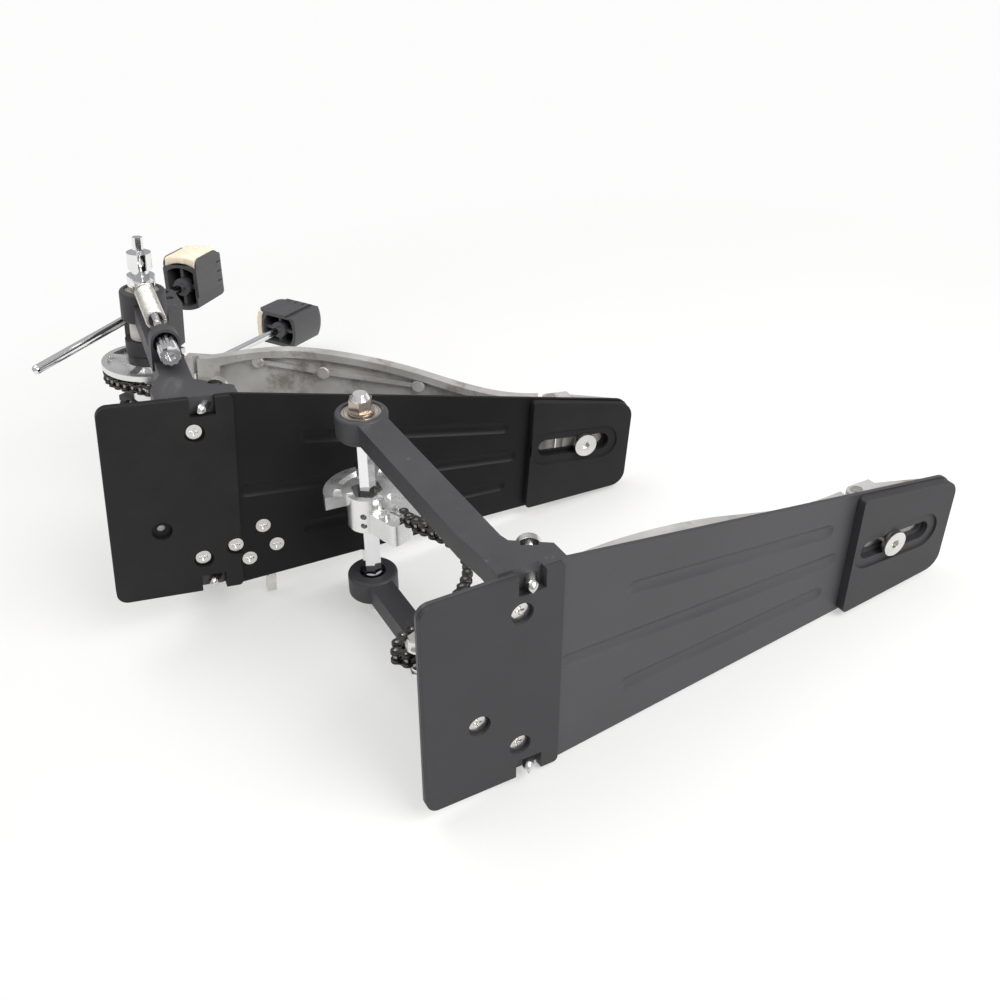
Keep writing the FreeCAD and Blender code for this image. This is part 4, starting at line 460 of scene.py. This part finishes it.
def plate_outline(inset):
    end = PLATE_END - inset
    waist = PLATE_WAIST - inset
    half = PITCH / 2
    hollow = (half ** 2 + waist ** 2 - end ** 2) / (2 * (end - waist))
    rise = waist + hollow
    turn = math.atan2(rise, half)
    spots = []
    for sign in (1, -1):
        for step in range(END_STEPS + 1):
            angle = (turn - math.pi) + (2 * math.pi - 2 * turn) * step / END_STEPS
            spots.append((sign * (half + end * math.cos(angle)), sign * end * math.sin(angle)))
        for step in range(1, WAIST_STEPS):
            angle = -turn - (math.pi - 2 * turn) * step / WAIST_STEPS
            spots.append((sign * hollow * math.cos(angle), sign * (rise + hollow * math.sin(angle))))
    return spots


def loft(rings, shade):
    count = len(rings[0])
    verts = [spot for ring in rings for spot in ring]
    faces = []
    for level in range(len(rings) - 1):
        for step in range(count):
            after = (step + 1) % count
            low = level * count
            faces.append((low + step, low + after, low + count + after, low + count + step))
    faces.append(tuple(reversed(range(count))))
    faces.append(tuple(range((len(rings) - 1) * count, len(rings) * count)))
    return verts, faces, [shade] * len(faces)


def plate(place):
    half = PLATE_THICKNESS / 2
    levels = ((-half, PLATE_EDGE), (PLATE_EDGE - half, 0.0), (half - PLATE_EDGE, 0.0), (half, PLATE_EDGE))
    return loft([[(x, place + y, z) for x, z in plate_outline(inset)] for y, inset in levels], 0)


def barrel(x, levels, shade):
    rings = []
    for y, radius in levels:
        rings.append([(x + radius * math.cos(2 * math.pi * step / ROUND_STEPS), y,
                       radius * math.sin(2 * math.pi * step / ROUND_STEPS)) for step in range(ROUND_STEPS)])
    return loft(rings, shade)


def link_pieces(is_outer):
    place = OUTER_PLATE_Y if is_outer else INNER_PLATE_Y
    pieces = [plate(sign * place) for sign in (-1, 1)]
    for x in (-PITCH / 2, PITCH / 2):
        if is_outer:
            dome = PIN_RADIUS * PIN_DOME_SHARE
            shank = PIN_REACH - PIN_EDGE
            levels = ((-PIN_REACH, dome), (-shank, PIN_RADIUS), (shank, PIN_RADIUS), (PIN_REACH, dome))
            pieces.append(barrel(x, levels, 1))
        else:
            pieces.append(barrel(x, ((-INNER_PLATE_Y, BUSH_RADIUS), (INNER_PLATE_Y, BUSH_RADIUS)), 1))
    return pieces


LINKS = {is_outer: link_pieces(is_outer) for is_outer in (True, False)}


def link_places(pedal):
    form = bmesh.new()
    form.from_mesh(NODES[f"{pedal}_chain"].data)
    bmesh.ops.remove_doubles(form, verts=form.verts, dist=WELD)
    back = FRAMES[pedal].inverted()
    seen = set()
    places = []
    for first in form.verts:
        if first in seen:
            continue
        seen.add(first)
        todo = [first]
        found = []
        while todo:
            vert = todo.pop()
            found.append(back @ vert.co / MM)
            for edge in vert.link_edges:
                other = edge.other_vert(vert)
                if other not in seen:
                    seen.add(other)
                    todo.append(other)
        cloud = np.array(found)
        low, high = cloud.min(0), cloud.max(0)
        flat = cloud[:, [0, 2]] - cloud[:, [0, 2]].mean(0)
        along = np.linalg.eigh(flat.T @ flat)[1][:, -1]
        places.append(((low + high) / 2, along, high[1] - low[1] > PIN_REACH + OUTER_PLATE_Y))
    form.free()
    return places


def chain_piece(name, pedal, places):
    verts = []
    faces = []
    shades = []
    for centre, along, is_outer in places:
        for spots, sides, tones in LINKS[is_outer]:
            base = len(verts)
            for x, y, z in spots:
                verts.append(spot(pedal, centre[0] + x * along[0] - z * along[1], CHAIN_Y + y,
                                  centre[2] + x * along[1] + z * along[0]))
            faces += [tuple(base + corner for corner in side) for side in sides]
            shades += tones
    piece = add_mesh(name, verts, faces)
    piece.data.materials.append(MATERIALS["dark_chain"])
    piece.data.materials.append(MATERIALS["chain_pins"])
    piece.data.polygons.foreach_set("material_index", shades)
    piece.data.set_sharp_from_angle(angle=SHARP_ANGLE)
    return piece


def bend_chain(pedal, name, places, first_body, second_body):
    piece = chain_piece(name, pedal, places)
    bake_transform(piece)
    return piece


WOUND_LINKS = 18


main_places = link_places("main")
chain_parts = []
for index, place in enumerate(main_places[:WOUND_LINKS]):
    link = chain_piece(f"main_chain_link_{index:02d}", "main", [place])
    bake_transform(link)
    chain_parts.append(link)
half_run = WOUND_LINKS + (len(main_places) - WOUND_LINKS) // 2
upper_run, lower_run = main_places[WOUND_LINKS:half_run], main_places[half_run:]
chain_parts.append(bend_chain("main", "main_chain_upper_run", upper_run, "main_frame", "main_heel"))
chain_parts.append(bend_chain("main", "main_chain_lower_run", lower_run, "main_heel", "main_board"))
for part in chain_parts:
    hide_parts("main_chain")
second_places = link_places("second")
third = len(second_places) // 3
for name, low, high, bodies in (("upper", 0, third, ("second_axle_set", "second_frame")),
                                ("middle", third, 2 * third, ("second_frame", "second_heel")),
                                ("lower", 2 * third, len(second_places), ("second_heel", "second_board"))):
    part = bend_chain("second", f"second_chain_{name}", second_places[low:high], *bodies)
    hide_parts("second_chain")


# Felts: the pressed pad with a soft, slightly uneven skin, between the head's two cheeks

FELT_VOXEL = 0.0007
FELT_ROUNDS = 6
LUMP_SCALES = (260, 900)
LUMP_HEIGHT = 0.00011


def felt(side):
    name = f"main_{side}_felt"
    piece = bpy.data.objects.new(f"{name}_pad", NODES[name].data.copy())
    bpy.context.scene.collection.objects.link(piece)
    remesh = piece.modifiers.new("even_mesh", "REMESH")
    remesh.mode = "VOXEL"
    remesh.voxel_size = FELT_VOXEL
    relax = piece.modifiers.new("relax", "SMOOTH")
    relax.iterations = FELT_ROUNDS
    bpy.context.view_layer.update()
    made = bpy.data.meshes.new_from_object(piece.evaluated_get(bpy.context.evaluated_depsgraph_get()))
    piece.modifiers.clear()
    piece.data = made
    turn, cloud, middle, half, low, high = HEAD_FRAMES[side]
    for vert in made.vertices:
        place = turn @ vert.co
        place.y = middle + (place.y - middle) * (half - CHEEK) / half
        vert.co = turn.transposed() @ place
        lump = sum(mathutils_noise.noise(vert.co * scale) for scale in LUMP_SCALES)
        vert.co += vert.normal * (lump * LUMP_HEIGHT)
    made.shade_smooth()
    made.materials.clear()
    made.materials.append(MATERIALS["felt"])
    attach(piece, body_of(name))
    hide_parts(name)


def closed_piece(name, rings, slot, carrier):
    """A rigid closed form through the rings, on the body that carries the named node."""
    verts, faces, shades = loft(rings, 0)
    piece = add_mesh(name, verts, faces)
    form = bmesh.new()
    form.from_mesh(piece.data)
    bmesh.ops.recalc_face_normals(form, faces=form.faces)
    form.to_mesh(piece.data)
    form.free()
    piece.data.set_sharp_from_angle(angle=SHARP_ANGLE)
    piece.data.materials.append(MATERIALS[slot])
    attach(piece, body_of(carrier))


CHEEK_CORNER = 6.0 * MM
CHEEK_SINK = 1.0 * MM
CORNER_STEPS = 8
CHEEK_NAMES = {-1: "a", 1: "b"}


def cheek(side, sign):
    """The head's thin side wall that holds the felt's edge, with two round corners."""
    turn, cloud, middle, half, low, high = HEAD_FRAMES[side]
    start, end = cloud[:, 2].min(), cloud[:, 2].max()
    radius = min(CHEEK_CORNER, high - low)
    angles = [math.pi / 2 * step / CORNER_STEPS for step in range(CORNER_STEPS + 1)]
    outline = [(low - CHEEK_SINK, start), (low - CHEEK_SINK, end)]
    top = high - radius
    outline += [(top + radius * math.sin(angle), end - radius + radius * math.cos(angle)) for angle in angles]
    outline += [(top + radius * math.cos(angle), start + radius - radius * math.sin(angle)) for angle in angles]
    rings = [[turn.transposed() @ Vector((out, middle + sign * place, along)) for out, along in outline]
             for place in (half - CHEEK, half)]
    closed_piece(f"main_{side}_head_cheek_{CHEEK_NAMES[sign]}", rings, "black_plastic", f"main_{side}_head")


for side in SIDES:
    felt(side)
    for sign in SIDES.values():
        cheek(side, sign)


# Ribs and bosses in the main footboard's pocket, on the left: places on the pocket's floor in the pedal's frame

RIB_SPOTS = [Vector((118.6, -39.7, 113.2)), Vector((160.0, -35.5, 92.9)), Vector((218.9, -32.9, 60.0))]
RIB_DOWN = Vector((-0.503, 0.0, -0.864))
RIB_SINK = 1.2
RIB_HALF = 1.5
RIB_RISE = 3.6
BOSS_RADIUS = 4.5
BOSS_RISE = 5.0
BOSS_EDGE = 0.6
BOSS_STEPS = 28


def pocket_piece(name, rings):
    placed = [[spot("main", *place) for place in ring] for ring in rings]
    closed_piece(name, placed, "cast_aluminium", "main_footboard")


def boss_ring(centre, radius, rise):
    forth = RIB_DOWN.cross(Vector((0, 1, 0)))
    angles = [2 * math.pi * step / BOSS_STEPS for step in range(BOSS_STEPS)]
    middle = centre + RIB_DOWN * rise
    spokes = [forth * (radius * math.cos(turn)) + Vector((0, radius * math.sin(turn), 0)) for turn in angles]
    return [middle + spoke for spoke in spokes]


def rib_ring(place, over):
    corners = ((1, -RIB_SINK), (1, RIB_RISE), (-1, RIB_RISE), (-1, -RIB_SINK))
    return [place + over * sign + RIB_DOWN * rise for sign, rise in corners]


for index, centre in enumerate(RIB_SPOTS):
    levels = ((BOSS_RADIUS, -RIB_SINK), (BOSS_RADIUS, BOSS_RISE - BOSS_EDGE),
              (BOSS_RADIUS - BOSS_EDGE, BOSS_RISE))
    pocket_piece(f"main_footboard_boss_{index}", [boss_ring(centre, *level) for level in levels])
for index, (first, second) in enumerate(zip(RIB_SPOTS, RIB_SPOTS[1:])):
    over = RIB_DOWN.cross(second - first).normalized() * RIB_HALF
    pocket_piece(f"main_footboard_rib_{index}", [rib_ring(place, over) for place in (first, second)])


# Stage, light and camera

CAMERA_AT = Vector((9.20, -677.66, 479.19)) * MM
CAMERA_PITCH = math.radians(35.336)
CAMERA_ROLL = math.radians(7.976)
FOCAL_PIXELS = 1136
IMAGE_PIXELS = 1000
SENSOR = 36.0
CLIP_START = 0.01
FLOOR_HALF = 6.0
FLOOR_DROP = 0.0002
FLOOR_TONES = [(0.3, (0.82, 0.815, 0.8)), (0.7, (0.86, 0.856, 0.842))]
FLOOR_WHITE = (0.975, 0.975, 0.972, 1)
NEAR_WHITE = 0.4
WHITE_FROM, WHITE_TO = 0.25, 0.6
WORLD_TONES = [(0.48, (0.8, 0.8, 0.8)), (0.54, (0.5, 0.5, 0.51)), (0.7, (0.6, 0.6, 0.61)),
               (1.0, (0.95, 0.95, 0.95))]
WORLD_STRENGTH = 0.75
# Lamps: place, aim, size in metres and power in watts
LAMPS = {"key": ((0.95, -0.95, 1.15), (0.05, -0.05, 0.05), (1.1, 0.9), 26.0),
         "fill": ((-0.6, 0.3, 1.5), (0.0, 0.0, 0.05), (1.3, 1.0), 9.0)}


def make_camera():
    data = bpy.data.cameras.new("camera")
    data.sensor_width = SENSOR
    data.lens = SENSOR * FOCAL_PIXELS / IMAGE_PIXELS
    data.clip_start = CLIP_START
    camera = bpy.data.objects.new("camera", data)
    bpy.context.scene.collection.objects.link(camera)
    forward = Vector((0, math.cos(CAMERA_PITCH), -math.sin(CAMERA_PITCH)))
    level = Vector((1, 0, 0))
    upward = level.cross(forward)
    right = level * math.cos(CAMERA_ROLL) - upward * math.sin(CAMERA_ROLL)
    top = right.cross(forward)
    turn = Matrix((right, top, -forward)).transposed().to_4x4()
    camera.matrix_world = Matrix.Translation(CAMERA_AT) @ turn
    bpy.context.scene.camera = camera


def make_floor():
    corners = [(x * FLOOR_HALF, y * FLOOR_HALF, -FLOOR_DROP) for x, y in ((-1, -1), (1, -1), (1, 1), (-1, 1))]
    floor = add_mesh("floor", corners, [(0, 1, 2, 3)], smooth=False)
    made, tree, shader = new_material("pale_floor", specular=0.3)
    tone = noise(tree, 3.0, 3.0, 0.5)
    tree.links.new(ramp(tree, tone, FLOOR_TONES), shader.inputs["Base Color"])
    shader.inputs["Roughness"].default_value = 0.5
    glow = node(tree, "ShaderNodeEmission", Strength=1.0)
    glow.inputs["Color"].default_value = FLOOR_WHITE
    coords = node(tree, "ShaderNodeTexCoord")
    distance = node(tree, "ShaderNodeVectorMath", operation="LENGTH")
    tree.links.new(coords.outputs["Object"], distance.inputs[0])
    share = spread(tree, distance.outputs["Value"], NEAR_WHITE, 1.0, WHITE_FROM, WHITE_TO)
    rays = node(tree, "ShaderNodeLightPath")
    seen = rays.outputs["Is Camera Ray"]
    for kind in ("Is Glossy Ray", "Is Transmission Ray"):
        either = node(tree, "ShaderNodeMath", operation="MAXIMUM")
        tree.links.new(seen, either.inputs[0])
        tree.links.new(rays.outputs[kind], either.inputs[1])
        seen = either.outputs["Value"]
    both = node(tree, "ShaderNodeMath", operation="MULTIPLY")
    tree.links.new(seen, both.inputs[0])
    tree.links.new(share, both.inputs[1])
    mix = node(tree, "ShaderNodeMixShader")
    tree.links.new(both.outputs["Value"], mix.inputs["Fac"])
    tree.links.new(shader.outputs["BSDF"], mix.inputs[1])
    tree.links.new(glow.outputs["Emission"], mix.inputs[2])
    tree.links.new(mix.outputs["Shader"], tree.nodes["Material Output"].inputs["Surface"])
    floor.data.materials.append(made)


def add_light(name, at, aim, size, energy):
    data = bpy.data.lights.new(name, "AREA")
    data.shape = "RECTANGLE"
    data.size, data.size_y = size
    data.energy = energy
    lamp = bpy.data.objects.new(name, data)
    lamp.location = at
    lamp.rotation_mode = "QUATERNION"
    lamp.rotation_quaternion = (Vector(aim) - Vector(at)).to_track_quat("-Z", "Y")
    bpy.context.scene.collection.objects.link(lamp)


def make_world():
    world = bpy.data.worlds.new("studio")
    bpy.context.scene.world = world
    world.use_nodes = True
    tree = world.node_tree
    coords = node(tree, "ShaderNodeTexCoord")
    split = node(tree, "ShaderNodeSeparateXYZ")
    tree.links.new(coords.outputs["Generated"], split.inputs["Vector"])
    height = spread(tree, split.outputs["Z"], 0.0, 1.0, -1.0, 1.0)
    shade = ramp(tree, height, WORLD_TONES)
    light = tree.nodes["Background"]
    light.inputs["Strength"].default_value = WORLD_STRENGTH
    tree.links.new(shade, light.inputs["Color"])


make_camera()
make_floor()
make_world()
for name, lamp in LAMPS.items():
    add_light(name, *lamp)
bpy.context.scene.view_settings.view_transform = "Standard"
